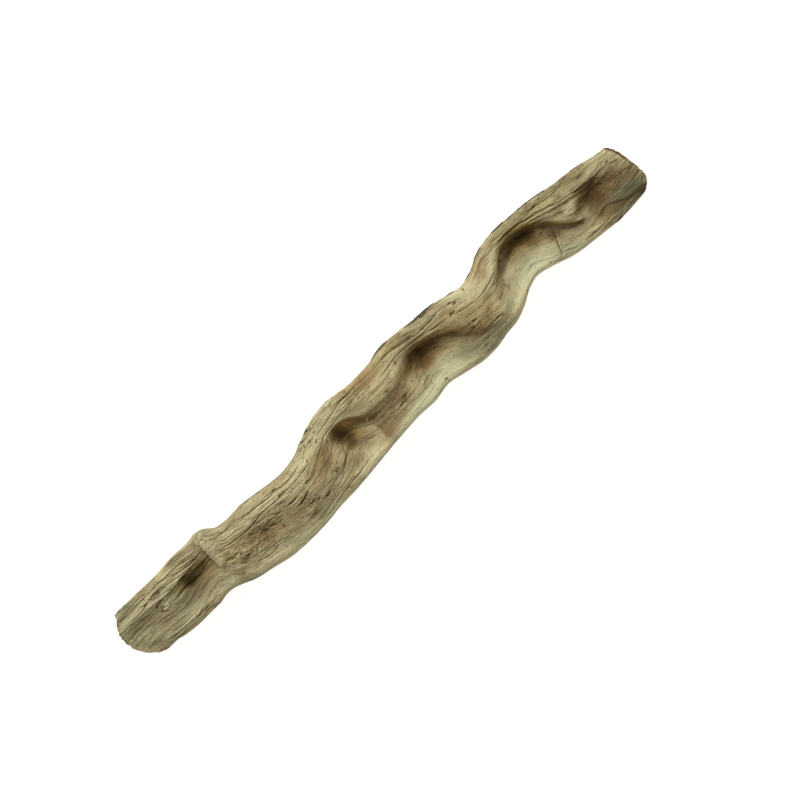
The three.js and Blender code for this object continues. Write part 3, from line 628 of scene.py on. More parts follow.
def beside_line(line, x, y):
    """How far each point lies from a line, positive on its left hand, and the
    share of the way along the line where it is nearest."""
    nearest = np.full(x.shape, 1e9)
    side, share = np.ones(x.shape), np.zeros(x.shape)
    for k in range(len(line) - 1):
        ahead = line[k + 1] - line[k]
        from_x, from_y = x - line[k, 0], y - line[k, 1]
        t = np.clip((from_x * ahead[0] + from_y * ahead[1]) / (ahead @ ahead), 0, 1)
        here = np.hypot(from_x - t * ahead[0], from_y - t * ahead[1])
        closer = here < nearest
        nearest = np.where(closer, here, nearest)
        side = np.where(closer, np.where(ahead[0] * from_y >= ahead[1] * from_x, 1, -1), side)
        share = np.where(closer, (k + t) / (len(line) - 1), share)
    return nearest * side, share


def near_line(line, x, y, room):
    """Which points lie in the line's box, grown by room all round."""
    low, high = line.min(0) - room, line.max(0) + room
    return (x > low[0]) & (x < high[0]) & (y > low[1]) & (y < high[1])


def between_ends(share, fade):
    """1 along most of a line, falling to 0 at its ends."""
    return smooth(np.minimum(share, 1 - share) / fade)


def ledges_at(x, y):
    """How much the ledges lower the upper face."""
    height = np.zeros(x.shape)
    for points, drop, crisp, reach in LEDGES.values():
        line = smooth_line(points)
        close = near_line(line, x, y, 3 * reach)
        offset, share = beside_line(line, x[close], y[close])
        step = smooth((crisp - offset) / (2 * crisp))
        away = np.maximum(-offset, 0) / reach
        height[close] -= drop * between_ends(share, LEDGE_FADE) * step * np.exp(-away**2)
    return height


def hollow_at(x, y):
    """How deep the winding hollow is."""
    bottom, depth, toward_upper, toward_lower = (curve_at(HOLLOW, x, k) for k in range(1, 5))
    wall = np.where(y < bottom, toward_lower, toward_upper)
    return depth * np.exp(-(((y - bottom) / wall) ** 2))


def squared(value):
    return np.sign(value) * np.abs(value) ** (2 / SQUARENESS)


def grown(u, v, w):
    """Where points of the straight block lie in the grown stem, and their
    station and side place before the cuts and the shift.
    u runs 0 to 1 along, v from -1 to 1 across and w from -1 to 1 through."""
    station = (u - 0.5) * LENGTH - ALONG_SHIFT
    rims = (curve_at(RIMS, station, k) for k in range(1, 8))
    upper_edge, lower_edge, upper_height, lower_height, bow, fall, rise = rims
    half_width, middle = (upper_edge - lower_edge) / 2, (upper_edge + lower_edge) / 2

    upward = squared(np.sin(w * np.pi / 2))
    y = middle + v * (half_width - RIM + RIM * squared(np.cos(w * np.pi / 2)))
    across = np.clip((y - middle) / half_width, -1, 1)
    inside = smooth((1 - np.abs(across)) / RIM_SHARE)

    z = (
        (upper_height + lower_height) / 2
        + across * (upper_height - lower_height) / 2
        + bow * (1 - across**2)
        - hollow_at(station, y) * (HOLLOW_AT_RIM + (1 - HOLLOW_AT_RIM) * inside)
        + (WEB + (RIM - WEB) * (1 - inside)) * upward
    )
    shoulder = fall * np.clip((y - upper_edge) / SLOPED_EDGE + 1, 0, 1) ** 2
    lip = rise * np.clip((lower_edge - y) / SLOPED_EDGE + 1, 0, 1) ** 2
    z = z + (ledges_at(station, y) + lip - shoulder) * np.maximum(upward, 0)

    x = (
        station + ALONG_SHIFT
        + np.interp(y, *ROUNDED_CUT.T) * smooth(1 - u * LENGTH / END_REACH)
        - np.interp(y, *SQUARE_CUT.T) * smooth(1 - (1 - u) * LENGTH / END_REACH)
    )
    return np.stack([x, y + SIDE_SHIFT, z - WORN], -1), station, y


def noise(a, b, seed, around=0):
    """Smooth noise from -1 to 1 with one value at each whole a and b.
    Where around is given, it repeats after that many whole steps of b."""
    rows, columns = 61, around or 67
    table = np.random.default_rng(seed).uniform(-1, 1, (rows, columns))
    row, column = np.floor(a).astype(int), np.floor(b).astype(int)
    s, t = smooth(a - row), smooth(b - column)
    near, far = (
        table[r % rows, column % columns] * (1 - t) + table[r % rows, (column + 1) % columns] * t
        for r in (row, row + 1)
    )
    return near * (1 - s) + far * s


def spot(x, y, cx, cy, half_length, half_width, strength, turn=0):
    """A soft round or long spot."""
    c, s = math.cos(math.radians(turn)), math.sin(math.radians(turn))
    along = ((x - cx) * c + (y - cy) * s) / half_length
    aside = ((y - cy) * c - (x - cx) * s) / half_width
    return strength * np.exp(-(along**2 + aside**2))


def spots_at(x, y, spots):
    return sum(spot(x, y, *place) for place in spots)


def grain_share(x, y):
    """The share of the way across the upper face, counted in grain lines."""
    lines = [curve_at(np.array(line, float), x, 1) for _, line in GRAIN_LINES]
    marks = [curve_at(RIMS, x, 2), *lines, curve_at(RIMS, x, 1)]
    shares = [0.0, *(share for share, _ in GRAIN_LINES), 1.0]
    found = np.zeros_like(y)
    for k in range(len(shares) - 1):
        part = np.clip((y - marks[k]) / np.maximum(marks[k + 1] - marks[k], 0.5), 0, 1)
        found += part * (shares[k + 1] - shares[k])
    return found


class StemSurface:
    """Where every vertex of the finished surface lies."""

    def __init__(self, block):
        """block holds each vertex's cell corner: along, across, through."""
        self.block = block
        self.measure_sections()
        self.place()

    def measure_sections(self):
        """Spreads the cells evenly round each section, so that they crowd on
        steep walls as the wood's fibres do."""
        place = np.linspace(-LENGTH / 2, LENGTH / 2, SPACING_STEPS)
        crowd = 1 + sum(c * np.exp(-(((place - x) / h) ** 2)) for x, h, c in CLOSER)
        gone = np.concatenate([[0], np.cumsum(crowd[1:] + crowd[:-1])])
        self.along = np.interp(np.linspace(0, gone[-1], ALONG + 1), gone, place / LENGTH + 0.5)
        self.side = side = np.linspace(-1, 1, SECTION_STEPS + 1)
        ones = np.ones_like(side)
        self.spread, lengths = [], []
        for v, w in ((side, ones), (ones, -side), (-side, -ones), (-ones, side)):
            u, v, w = np.broadcast_arrays(self.along[:, None], v, w)
            point, place, y = grown(u, v, w)
            step = np.hypot(np.diff(point[..., 1]), np.diff(point[..., 2]))
            gone = np.concatenate([np.zeros((ALONG + 1, 1)), np.cumsum(step, 1)], 1)
            lengths.append(gone[:, -1])
            gone = gone / gone[:, -1:]
            if not self.spread:
                flow = grain_share(place, y)
                flow = (flow - flow[:, :1]) / (flow[:, -1:] - flow[:, :1])
                flow = gone + GRAIN_FOLLOW * (flow - gone)
                self.room = np.gradient(gone, axis=1) / np.gradient(flow, axis=1)
                gone = flow
            self.spread.append(gone)
        self.round = np.stack(lengths, -1)

    def even(self, wall, share, row):
        """The v or w that lies at an even share of a section's wall."""
        out = np.empty(len(share))
        for r in range(ALONG + 1):
            here = row == r
            out[here] = np.interp(share[here], self.spread[wall][r], self.side)
        return out

    def place(self):
        row = self.block[:, 0]
        across = self.block[:, 1] / ACROSS
        through = self.block[:, 2] / THROUGH
        top = self.even(0, across, row)
        bottom = -self.even(2, 1 - across, row)
        down_upper = (1 - through) ** RIM_CROWD
        up_lower = 1 - down_upper
        upper = -self.even(1, down_upper, row)
        lower = self.even(3, up_lower, row)
        v = bottom + (top - bottom) * through
        self.w = lower + (upper - lower) * across
        self.points, self.station, self.y = grown(self.along[row], v, self.w)

        # The share of the way round the section, from the middle of its
        # underside up the lower edge, over the top and back.
        length = self.round[row].T
        start = np.cumsum(length, 0) - length
        gone = start + length * [across, down_upper, 1 - across, up_lower]
        edge = [self.block[:, 2] == THROUGH, self.block[:, 1] == ACROSS, self.block[:, 2] == 0]
        under_middle = start[2] + length[2] / 2
        self.ring = ((np.select(edge, list(gone[:3]), gone[3]) - under_middle) / length.sum(0)) % 1
        self.on_cut = (row == 0) | (row == ALONG)
        from_edge = np.minimum.reduce([across, 1 - across, through, 1 - through])
        self.depth_in = np.where(self.on_cut, from_edge * 2, 0)
        # 1 on the upper face and the upper half of the rims, 0 underneath.
        self.up = smooth(self.w * 1.3 + 0.6)
        # How much room the grain has on the upper face, beside its usual room.
        room = np.ones(len(row))
        for r in range(ALONG + 1):
            here = (row == r) & edge[0]
            room[here] = np.interp(across[here], self.spread[0][r], self.room[r])
        self.tight = np.clip(room, 0.2, 1)

    def wound(self, at, run, gaps, seed, shift=0):
        """Noise drawn out along the stem that closes round it."""
        return noise(self.station / run + shift, at * gaps, seed, gaps)


def grow_fibres(stem, fields):
    """The height of the bundles of fibres, the broken layers and crumbled wood."""
    x, y, ring, up, wound = stem.station, stem.y, stem.ring, stem.up, stem.wound
    r = ring + 0.006 * wound(ring, 62, 7, 21, 3) + 0.0025 * wound(ring, 21, 16, 22)

    # Bundles of fibres about 6, 3 and 1 mm wide that run on for centimetres.
    ropy = (0.75 + 0.5 * smooth((y + 2) / 22) * up) * stem.tight
    bundles = 0.42 * wound(r, 95, 22, 1) + 0.3 * wound(r, 58, 47, 2, 9) + 0.2 * wound(r, 30, 104, 3, 5)
    bundles *= ropy
    calm = np.clip(spots_at(x, y, CALM), 0, 1) * up
    crumb = np.clip(spots_at(x, y, CRUMBLED), 0, 1) * up
    fields.update(crest=np.clip(0.5 + 0.6 * bundles, 0, 1), calm=calm, crumb=crumb)
    fields["layers"] = r * GROWTH_LAYERS + 0.9 * wound(r, 70, 9, 23)

    # The foot of each terrace's crisp edge sinks a little, and the material paints
    # shade along it.
    steps = np.zeros_like(x)
    for number, (run, gaps, rise, seed) in enumerate(TERRACES):
        level = 1.5 * wound(r, run, gaps, seed, seed) + 0.4 * wound(r, run / 2.7, gaps * 2, seed + 1)
        level += 0.08 * wound(r, 5, 60, seed + 2)
        part = level - np.floor(level)
        foot = smooth(0.6 + 1.3 * wound(r, run / 3, gaps, seed + 3, 2)) * (1 - 0.8 * calm)
        steps += rise * (np.floor(level) + smooth(part / 0.22))
        steps -= 0.35 * rise * np.exp(-(((part - 0.04) / 0.07) ** 2)) * foot
        fields[f"terrace_{number}"] = level
        fields[f"foot_{number}"] = foot
    relief = 0.35 * bundles + steps * ropy * (1 - 0.6 * calm)

    # Crumbly wood: short ragged flakes along the upper rim and in the hollows.
    ragged = 0.6 * wound(r, 3.1, 76, 31) + 0.4 * wound(r, 1.7, 118, 32, 4)
    relief += 0.42 * ragged * (0.25 + crumb) * up + 0.14 * ragged * (1 - up)
    return relief


def open_lines(stem, relief, fields):
    """Opens the furrows and splits that the wood shows at known places. The
    material draws their dark, dirt and painted shade, from the distance to each
    line, crisper than the mesh could."""
    x, y, up = stem.station, stem.y, stem.up
    away = np.full((LINE_SETS, len(x)), FAR)
    dark = np.zeros((LINE_SETS, len(x)))
    lines = [(*line, 0.5, 0.15) for line in FURROWS] + [(*line, 0.3, 0.3) for line in SPLITS]
    for number, (points, width, deep, wandering, taper) in enumerate(lines):
        line = smooth_line(points)
        close = np.flatnonzero(near_line(line, x, y, 4 * width) & (up > 0))
        cx, cy = x[close], y[close]
        wander = noise(cx / 9, cy / 5, 41) + 0.5 * noise(cx / 3, cy / 3, 46)
        offset, share = beside_line(line, cx, cy + wandering * wander)
        ends = between_ends(share, taper)
        apart = offset / (0.4 * width * (0.4 + 0.6 * ends))
        strength = np.clip(ends * (0.85 + 0.4 * noise(cx / 14, cy / 5, 42 + number)), 0, 1)
        strength *= (0.5 + 0.5 * deep) * up[close] * smooth((FAR - np.abs(apart)) / 1.5)
        # One side of a furrow stands up a little where its fibres have lifted.
        lifted = 0.25 * np.exp(-((apart / 2 + 1.2) ** 2)) - np.exp(-apart**2)
        relief[close] += deep * lifted * strength
        seen = close[np.abs(apart) < FAR]
        free = min(range(LINE_SETS), key=lambda k: (np.abs(away[k][seen]) < FAR).sum())
        nearer = np.abs(apart) < np.abs(away[free][close])
        away[free][close[nearer]] = apart[nearer]
        dark[free][close[nearer]] = strength[nearer]
    for number in range(LINE_SETS):
        fields[f"line_{number}"] = away[number]
        fields[f"dark_{number}"] = dark[number]


def lay_shade_and_dirt(stem, fields):
    """Painted shade and dirt under the ledges, cut off sharp at their edge."""
    x, y, up = stem.station, stem.y, stem.up
    fields["lip"] = np.full(len(x), FAR)
    fields["lip_dirt"] = np.zeros(len(x))
    for name, (most, reach) in LEDGE_SHADE_AND_DIRT.items():
        line = smooth_line(LEDGES[name][0])
        close = np.flatnonzero(near_line(line, x, y, 3 * reach) & (up > 0))
        cx, cy = x[close], y[close]
        wander = 0.5 * noise(cx / 5, cy / 5, 49) + 0.25 * noise(cx / 2, cy / 2, 50)
        offset, share = beside_line(line, cx, cy + wander)
        dirt = most * between_ends(share, 0.2) * np.exp(-np.abs(offset) / reach)
        more = dirt > fields["lip_dirt"][close]
        fields["lip"][close[more]] = np.clip(offset[more], -FAR, FAR)
        fields["lip_dirt"][close[more]] = dirt[more]


def pit_and_chip(stem, relief, fields):
    """Pits sink in and chips stand up, each with its own ragged outline."""
    x, y, up = stem.station, stem.y, stem.up
    for name, spots, rise, power, size, ragged in (
        ("pit", PITS, -1, 3, 0.95, 0.35 * noise(x / 1.4, y / 0.9, 43)),
        ("chip", CHIPS, 1, 4, 0.9, 0.4 * noise(x / 1.3 + 3, y / 0.9, 44)),
    ):
        fields[name] = np.full(len(x), FAR)
        for cx, cy, half_length, half_width, high in spots:
            far = np.hypot((x - cx) / half_length, (y - cy) / half_width) / (size + ragged)
            relief += rise * high * np.exp(-(far**power)) * up
            fields[name] = np.minimum(fields[name], far + FAR * (1 - up))


def stain_wood(stem, outward, fields):
    """The painted warm light of the hollows and of walls turned from the window, the painted light of the
    lower rim, and how deep each stain is.
    """
    x, y, ring, up, wound = stem.station, stem.y, stem.ring, stem.up, stem.wound
    # Painted warm light, kept in the field deep: a warm tint in the hollows and on
    # the walls that face away from the window.
    deep = smooth((hollow_at(x, y) - WARM_DEPTH[0]) / (WARM_DEPTH[1] - WARM_DEPTH[0])) * up
    low = curve_at(RIMS, x, 2)
    shaded = smooth((0.45 - outward @ (np.array(WINDOW) / np.linalg.norm(WINDOW))) / 0.45)
    fields["deep"] = np.maximum(deep, shaded * (stem.w > 0.99) * smooth((y - low - 4) / 4))

    for name, spots in STAINS.items():
        fields[name] = spots_at(x, y, spots) * up
    # Painted light: the lower rim is paler from before the middle nearly to the
    # squarer cut, where its rounded face turns from the window.
    painted_rim_light = smooth((low + 8 - y) / 6) * smooth(0.8 + 1.2 * wound(ring, 28, 5, 56)) * up
    fields["pale"] += 0.6 * painted_rim_light * smooth((x + 70) / 40) * smooth((215 - x) / 30)
    # Water stood against the collar of the joint, and the brown wood beside the
    # pale lobe below the narrow hollow begins at a straight edge.
    collar = smooth_line(LEDGES["collar of the joint"][0])
    close = near_line(collar, x, y, 12)
    offset, share = beside_line(collar, x[close], y[close])
    behind = smooth(offset / 0.9 + 0.3) * smooth((10 - offset) / 4) * between_ends(share, 0.1)
    for name in ("soaked", "brown", "rust"):
        fields[name][close] *= 1 - behind
    fields["pale"][close] += 0.25 * behind
    lobe = spot(x, y, -17, -12, 9, 10, 1) * up
    beyond = smooth((x + 15.5 + 0.1 * (y + 12) + 0.9 * noise(y / 5, x / 9, 58)) / 2.6 + 0.5)
    fields["brown"] = fields["brown"] * (1 - 0.8 * lobe * (1 - beyond)) + 0.3 * lobe * beyond
    fields["pale"] = fields["pale"] * (1 - lobe) + 0.1 * lobe * (1 - beyond)
    # The steep sides have a grey film, and the underside is stained.
    side, under = smooth((0.55 - stem.w) / 0.4), smooth(-1.5 * stem.w - 0.3)
    for name, most, where, some, more in (
        ("green", 0.6, side, 0.8, wound(ring, 38, 5, 59)),
        ("soaked", 0.15, side, 0.5, 1.2 * wound(ring, 24, 7, 60)),
        ("brown", 0.45, under, 0.5, 1.5 * wound(ring, 33, 9, 51)),
        ("soaked", 0.5, under, 0.1, 1.5 * wound(ring, 21, 12, 52, 5)),
        ("green", 0.5, under, 0.2, 1.5 * wound(ring, 47, 7, 53, 2)),
    ):
        fields[name] += most * where * smooth(some + more)
    # The squarer cut has a dark edge on its upper side and at its lower corner.
    from_cut = LENGTH / 2 - ALONG_SHIFT - x
    edge = 1.3 * smooth((3.2 - from_cut) / 1.6) * smooth((y + 4) / 8)
    edge += smooth((9 - from_cut) / 8) * smooth((-14 - y) / 8)
    fields["soaked"] += edge * smooth(0.9 + noise(y / 2.2, x / 3, 57)) * up


def strips_of_bark(stem):
    """How far inside the leftover bark each point lies. It clings to the top of
    the rims' sides, in ragged strips."""
    x, y, ring, wound = stem.station, stem.y, stem.ring, stem.wound
    torn = 0.85 * wound(ring, 12, 70, 54) + 0.35 * wound(ring, 3.5, 100, 55)
    down = np.maximum(0.3 - stem.w, 0) * (2.2 + 1.2 * noise(x / 9, ring, 47, 1))
    bark = np.full(len(x), -1.0)
    for cx, cy, half_length, half_width in BARK:
        far = np.sqrt(((x - cx) / half_length) ** 2 + ((y - cy) / half_width) ** 2 + down**2)
        bark = np.maximum(bark, 1.1 - far + torn)
    return bark


def relief_of(stem, outward):
    """The grain's height over the smooth form, in millimetres, and the fields
    that colour it."""
    fields = {}
    relief = grow_fibres(stem, fields)
    open_lines(stem, relief, fields)
    lay_shade_and_dirt(stem, fields)
    pit_and_chip(stem, relief, fields)
    stain_wood(stem, outward, fields)
    fields["bark"] = strips_of_bark(stem)
    return relief + BARK_THICKNESS * smooth(fields["bark"] * 3 + 0.5), fields


def add_node(tree, kind, inputs=(), out=0, **settings):
    """Adds a shader node, sets its properties, fills or links its inputs, which
    are given by name or in order, and gives one of its outputs."""
    made = tree.nodes.new("ShaderNode" + kind)
    for name, value in settings.items():
        setattr(made, name, value)
    for name, value in inputs.items() if isinstance(inputs, dict) else enumerate(inputs):
        if isinstance(value, bpy.types.NodeSocket):
            tree.links.new(value, made.inputs[name])
        else:
            made.inputs[name].default_value = value
    return made.outputs[out] if made.outputs else made


def new_material(name):
    """An empty node material, and the function that adds its nodes."""
    material = bpy.data.materials.new(name)
    material.use_nodes = True
    material.node_tree.nodes.clear()
    return material, functools.partial(add_node, material.node_tree)


def grain_noises(add):
    """The noises of the wood. Its grain wanders 1.5 mm to either side over a few
    centimetres."""
    straight = add("Attribute", out="Vector", attribute_name="grain")
    bend = add("VectorMath", (straight, (1 / 24, 1 / 9, 1 / 9)), operation="MULTIPLY")
    bend = add("TexNoise", {"Vector": bend, "Scale": 1, "Detail": 1}, "Color")
    bend = add("VectorMath", (bend, (0.5, 0.5, 0.5)), operation="SUBTRACT")
    grain = add("VectorMath", (bend, (0, 3, 3), straight), operation="MULTIPLY_ADD")

    # Noise stretched along the grain: millimetres along and across, detail,
    # roughness, and where along the grain it is taken from.
    noises = {}
    for name, run, gap, detail, rough, start in (
        ("streak", 42, 2.4, 3, 0.65, 0),
        ("fibre", 13, 0.9, 2, 0.6, 0),
        ("bits", 3.4, 1.4, 3, 0.7, 0),
        ("nap", 1.9, 0.9, 2, 0.65, 0),
        ("ray", 1.2, 6, 2, 0.6, 0),
        ("grit", 1.1, 1, 1, 0.6, 0),
        ("patch", 10, 4.5, 4, 0.65, 0),
        ("cloud", 34, 14, 3, 0.6, 0),
        ("speck", 2.4, 1.1, 2, 0.5, 0),
        ("flake", 2.8, 1.3, 3, 0.6, 0),
        ("long line", 95, 4.2, 1, 0.4, 0),
        ("line", 60, 2.2, 1, 0.4, 0),
        ("short line", 36, 1.5, 1, 0.4, 0),
        ("pink fleck", 4, 2.2, 5, 0.75, 0),
        ("grey fleck", 4, 2.2, 5, 0.75, 40),
        ("red tint", 7, 3.2, 5, 0.75, 20),
        ("green tint", 7, 3.2, 5, 0.75, 60),
        ("long red tint", 34, 9, 5, 0.75, 80),
        ("long green tint", 40, 10, 5, 0.75, 120),
    ):
        scale = (1 / run, 1 / gap, 1 / gap)
        place = add("VectorMath", (grain, scale, (start, 0, 0)), operation="MULTIPLY_ADD")
        settings = {"Vector": place, "Scale": 1, "Detail": detail, "Roughness": rough}
        noises[name] = add("TexNoise", settings)
    return noises


def bare_wood(paint, names):
    """Debarked liana wood, weathered dry: matt, silvery straw on the crests,
    with tannin-brown furrows and water stains, and painted shade and light:
    shade under the ledges, in the furrows, the hollows and the terraces' feet,
    warm light in the hollows and light on the lower rim and the terraces'
    crests. Light sinks into its broken fibres, so it has almost no gloss.
    Scales are in millimetres, counted in the straight wood before it grew."""
    material, add = new_material("debarked_liana_wood")
    field = {name: add("Attribute", out="Fac", attribute_name=name) for name in names}
    noises = grain_noises(add)

    # Each of these counts for its weight between dull and bleached wood.
    tone = -1.155
    for part, weight in (
        (field["crest"], 0.3), (noises["streak"], 0.25), (noises["fibre"], 0.35),
        (noises["bits"], 1), (noises["nap"], 0.7), (noises["grit"], 0.85), (noises["cloud"], 0.25),
    ):
        tone = add("Math", (part, weight, tone), operation="MULTIPLY_ADD")
    shade = add("ValToRGB", (tone,))
    stops = shade.node.color_ramp.elements
    stops.new(0.52)
    for stop, place, name in zip(stops, (0.18, 0.52, 0.95), ("dull", "straw", "pale")):
        stop.position, stop.color = place, paint[name]

    # What lies over the bare wood, in order: how much of it, its colour, and
    # whether it darkens or covers. And what stands out of the wood, how far.
    coats = []
    heights = [(noises["fibre"], 1), (noises["nap"], 1), (noises["bits"], 1.5)]

    # Warm and cool tints, some a few millimetres across and some a few
    # centimetres long, as bare wood has them.
    for name, colour in (
        ("pink fleck", "blush"), ("grey fleck", "lichen"), ("red tint", "rust"), ("green tint", "green"),
        ("long red tint", "rust"), ("long green tint", "green"),
    ):
        tint = add("MapRange", (noises[name], 0.45, 0.75, 0, 0.75))
        coats.append((tint, paint[colour], "MIX"))

    # Terraces where layers have broken away have a painted highlight on their
    # crests, and painted shade along their foot, 0.6 mm wide.
    crests, feet = [], []
    for number in range(len(TERRACES)):
        level = add("Math", (noises["nap"], 0.06, field[f"terrace_{number}"]), operation="MULTIPLY_ADD")
        part = add("Math", (level,), operation="FRACT")
        for bands, middle, core, reach, most in (
            (crests, 0.3, 0.04, 0.14, 0.4), (feet, 0.07, 0.02, 0.07, 0.5),
        ):
            away = add("Math", (part, middle), operation="SUBTRACT")
            away = add("Math", (away,), operation="ABSOLUTE")
            band = add("MapRange", (away, core, reach, most, 0))
            bands.append(add("Math", (band, field[f"foot_{number}"]), operation="MULTIPLY"))
    # The painted highlight on the terraces' crests.
    coats += [(crest, paint["pale"], "MIX") for crest in crests]

    # Stains, with edges broken up by mottling and fibres.
    ragged = -1.5
    for name in ("patch", "fibre", "streak"):
        ragged = add("Math", (ragged, noises[name]), operation="ADD")
    for name, most, break_up in (
        ("pale", 0.85, 0.35), ("lichen", 0.9, 0.4), ("honey", 0.9, 0.4), ("brown", 0.9, 0.4),
        ("rust", 0.8, 0.5), ("green", 0.85, 0.4), ("soaked", 0.9, 0.35),
    ):
        cover = add("Math", (ragged, break_up, field[name]), operation="MULTIPLY_ADD")
        cover = add("MapRange", (cover, 0, 1, 0, most))
        held = add("Math", (field[name], 3), operation="MULTIPLY", use_clamp=True)
        cover = add("Math", (cover, held), operation="MULTIPLY")
        coats.append((cover, paint[name], "MIX"))

    # Painted warm light: a warm tint multiplied in, as light that reaches the
    # hollows has met the wood before. Rays cross the grain there as faint dark ticks.
    coats.append((field["deep"], paint["glow"], "MULTIPLY"))
    tick = add("MapRange", (noises["ray"], 0.5, 0.68, 0, 0.25))
    tick = add("Math", (tick, field["deep"]), operation="MULTIPLY")
    coats.append((tick, paint["furrow"], "MULTIPLY"))

    # Even growth layers, and dark lines where a stretched noise passes its middle.
    layers = add("Math", (noises["streak"], 2, field["layers"]), operation="MULTIPLY_ADD")
    layers = add("Math", (layers, 1), operation="PINGPONG")
    lines = [(layers, 0, 0.22, 0.48, "cloud")]
    for name, width, most, mask in (
        ("long line", 0.03, 0.45, "cloud"),
        ("line", 0.035, 0.38, "patch"),
        ("short line", 0.04, 0.18, "streak"),
    ):
        line = add("Math", (noises[name], 0.5), operation="SUBTRACT")
        line = add("Math", (line,), operation="ABSOLUTE")
        lines.append((line, 0.3 * width, width, most, mask))
    busy = add("Math", (1, field["calm"]), operation="SUBTRACT")
    for away, core, width, most, mask in lines:
        line = add("MapRange", (away, core, width, 1, 0))
        broken = add("MapRange", (noises[mask], 0.38, 0.56, 0, most))
        line = add("Math", (line, broken), operation="MULTIPLY")
        line = add("Math", (line, busy), operation="MULTIPLY")
        coats.append((line, paint["furrow"], "MULTIPLY"))
        heights.append((line, -0.9))
    # The painted shade along the terraces' feet.
    coats += [(foot, paint["furrow"], "MULTIPLY") for foot in feet]

    # Dark specks, 2 mm long, of dirt and old bark fibre.
    speck = add("MapRange", (noises["speck"], 0.63, 0.7, 0, 0.6))
    coats.append((speck, paint["furrow"], "MULTIPLY"))
    heights.append((speck, -0.8))

    # Flakes of crumbled wood: dark gaps and pale faces, 3 mm by 1.3 mm.
    for low, high, most, name, blend in (
        (0.47, 0.36, 0.8, "furrow", "MULTIPLY"), (0.56, 0.68, 0.5, "pale", "MIX"),
    ):
        part = add("MapRange", (noises["flake"], low, high, 0, most))
        part = add("Math", (part, field["crumb"]), operation="MULTIPLY")
        coats.append((part, paint[name], blend))
    part = add("Math", (noises["flake"], field["crumb"]), operation="MULTIPLY")
    heights.append((part, 2))

    # Furrows and splits, with edges that the fibres fray. Their dark is dirt and
    # tannin, and painted shade of the groove.
    frayed = add("Math", (noises["nap"], 1.4, -0.7), operation="MULTIPLY_ADD")
    for number in range(LINE_SETS):
        apart = add("Math", (field[f"line_{number}"], frayed), operation="ADD")
        apart = add("Math", (apart,), operation="ABSOLUTE")
        line = add("MapRange", (apart, 0.3, 1.05, 1, 0))
        line = add("Math", (line, field[f"dark_{number}"]), operation="MULTIPLY")
        cover = add("Math", (line, 0.65), operation="MULTIPLY")
        coats.append((cover, paint["furrow"], "MULTIPLY"))
        heights.append((line, -1.2))
    # Painted shade and dirt under the ledges, darkest just below each edge.
    dirt = add("MapRange", (field["lip"], 0.3, -0.4))
    dirt = add("Math", (dirt, field["lip_dirt"]), operation="MULTIPLY")
    coats.append((dirt, paint["soaked"], "MIX"))

    # Pits and fresh chips, their edges broken at the scale of the grit.
    mottled = add("MapRange", (noises["patch"], 0.5, 0.7, 0, 0.5))
    for name, colour, outer, inner, most in (
        ("pit", "soaked", 2.1, 1.7, 0.85), ("chip", "chip", 1.95, 1.55, 0.8),
    ):
        far = add("Math", (noises["grit"], 1.6, field[name]), operation="MULTIPLY_ADD")
        cover = add("MapRange", (far, outer, inner, 0, most))
        inside = {0: mottled, 6: paint[colour], 7: paint["brown"]}
        coats.append((cover, add("Mix", inside, 2, data_type="RGBA"), "MIX"))

    # Leftover bark: thin dark crust, speckled with grey lichen and bare spots.
    bark = add("Math", (noises["nap"], field["bark"]), operation="ADD")
    bark = add("Math", (noises["patch"], 0.8, bark), operation="MULTIPLY_ADD")
    bark = add("MapRange", (bark, 0.85, 1))
    lichen = add("MapRange", (noises["bits"], 0.48, 0.66, 0, 0.7))
    crust = add("Mix", {0: lichen, 6: paint["bark"], 7: paint["green"]}, 2, data_type="RGBA")
    coats.append((bark, crust, "MIX"))

    for cover, colour, blend in coats:
        shade = add("Mix", {0: cover, 6: shade, 7: colour}, 2, data_type="RGBA", blend_type=blend)
    height = 0
    for part, weight in heights:
        height = add("Math", (part, weight, height), operation="MULTIPLY_ADD")
    add("OutputMaterial", {"Surface": add("BsdfPrincipled", {
        "Base Color": shade,
        "Normal": add("Bump", {"Height": height, "Distance": 0.5 * MM, "Strength": 0.9}),
        "Roughness": add("MapRange", (noises["patch"], 0, 1, 0.78, 0.95)),
        "IOR": 1.5,
        "Specular IOR Level": 0.25,
    })})
    return material


def end_grain(paint):
    """Sawn end grain of a liana: soft brown wood full of wide open pores, about
    0.5 mm across with soft edges, and darker near the bark. Sawn and dusty, so
    matt."""
    material, add = new_material("sawn_end_grain")
    place = add("TexCoord", out="Object")
    per_mm = 1 / MM
    cells = (0.3 * per_mm, 0.9 * per_mm, 0.9 * per_mm)
    cells = add("VectorMath", (place, cells), operation="MULTIPLY")
    pores = add("TexVoronoi", {"Vector": cells, "Scale": 1}, "Distance")
    pores = add("MapRange", (pores, 0.22, 0.42))
    cloud = add("TexNoise", {"Vector": place, "Scale": 0.16 * per_mm, "Detail": 4})
    shade = add("ValToRGB", (cloud,))
    for stop, place, name in zip(shade.node.color_ramp.elements, (0.35, 0.7), ("brown", "dull")):
        stop.position, stop.color = place, paint[name]
    shade = add("Mix", {0: pores, 6: paint["soaked"], 7: shade}, 2, data_type="RGBA")
    inside = add("Attribute", out="Fac", attribute_name="inside")
    edge = add("MapRange", (inside, 0, 0.25, 0.75, 0))
    shade = add("Mix", {0: edge, 6: shade, 7: paint["soaked"]}, 2, data_type="RGBA")
    add("OutputMaterial", {"Surface": add("BsdfPrincipled", {
        "Base Color": shade,
        "Normal": add("Bump", {"Height": pores, "Distance": 0.4 * MM, "Strength": 0.7}),
        "Roughness": 0.92,
        "IOR": 1.5,
        "Specular IOR Level": 0.2,
    })})
    return material


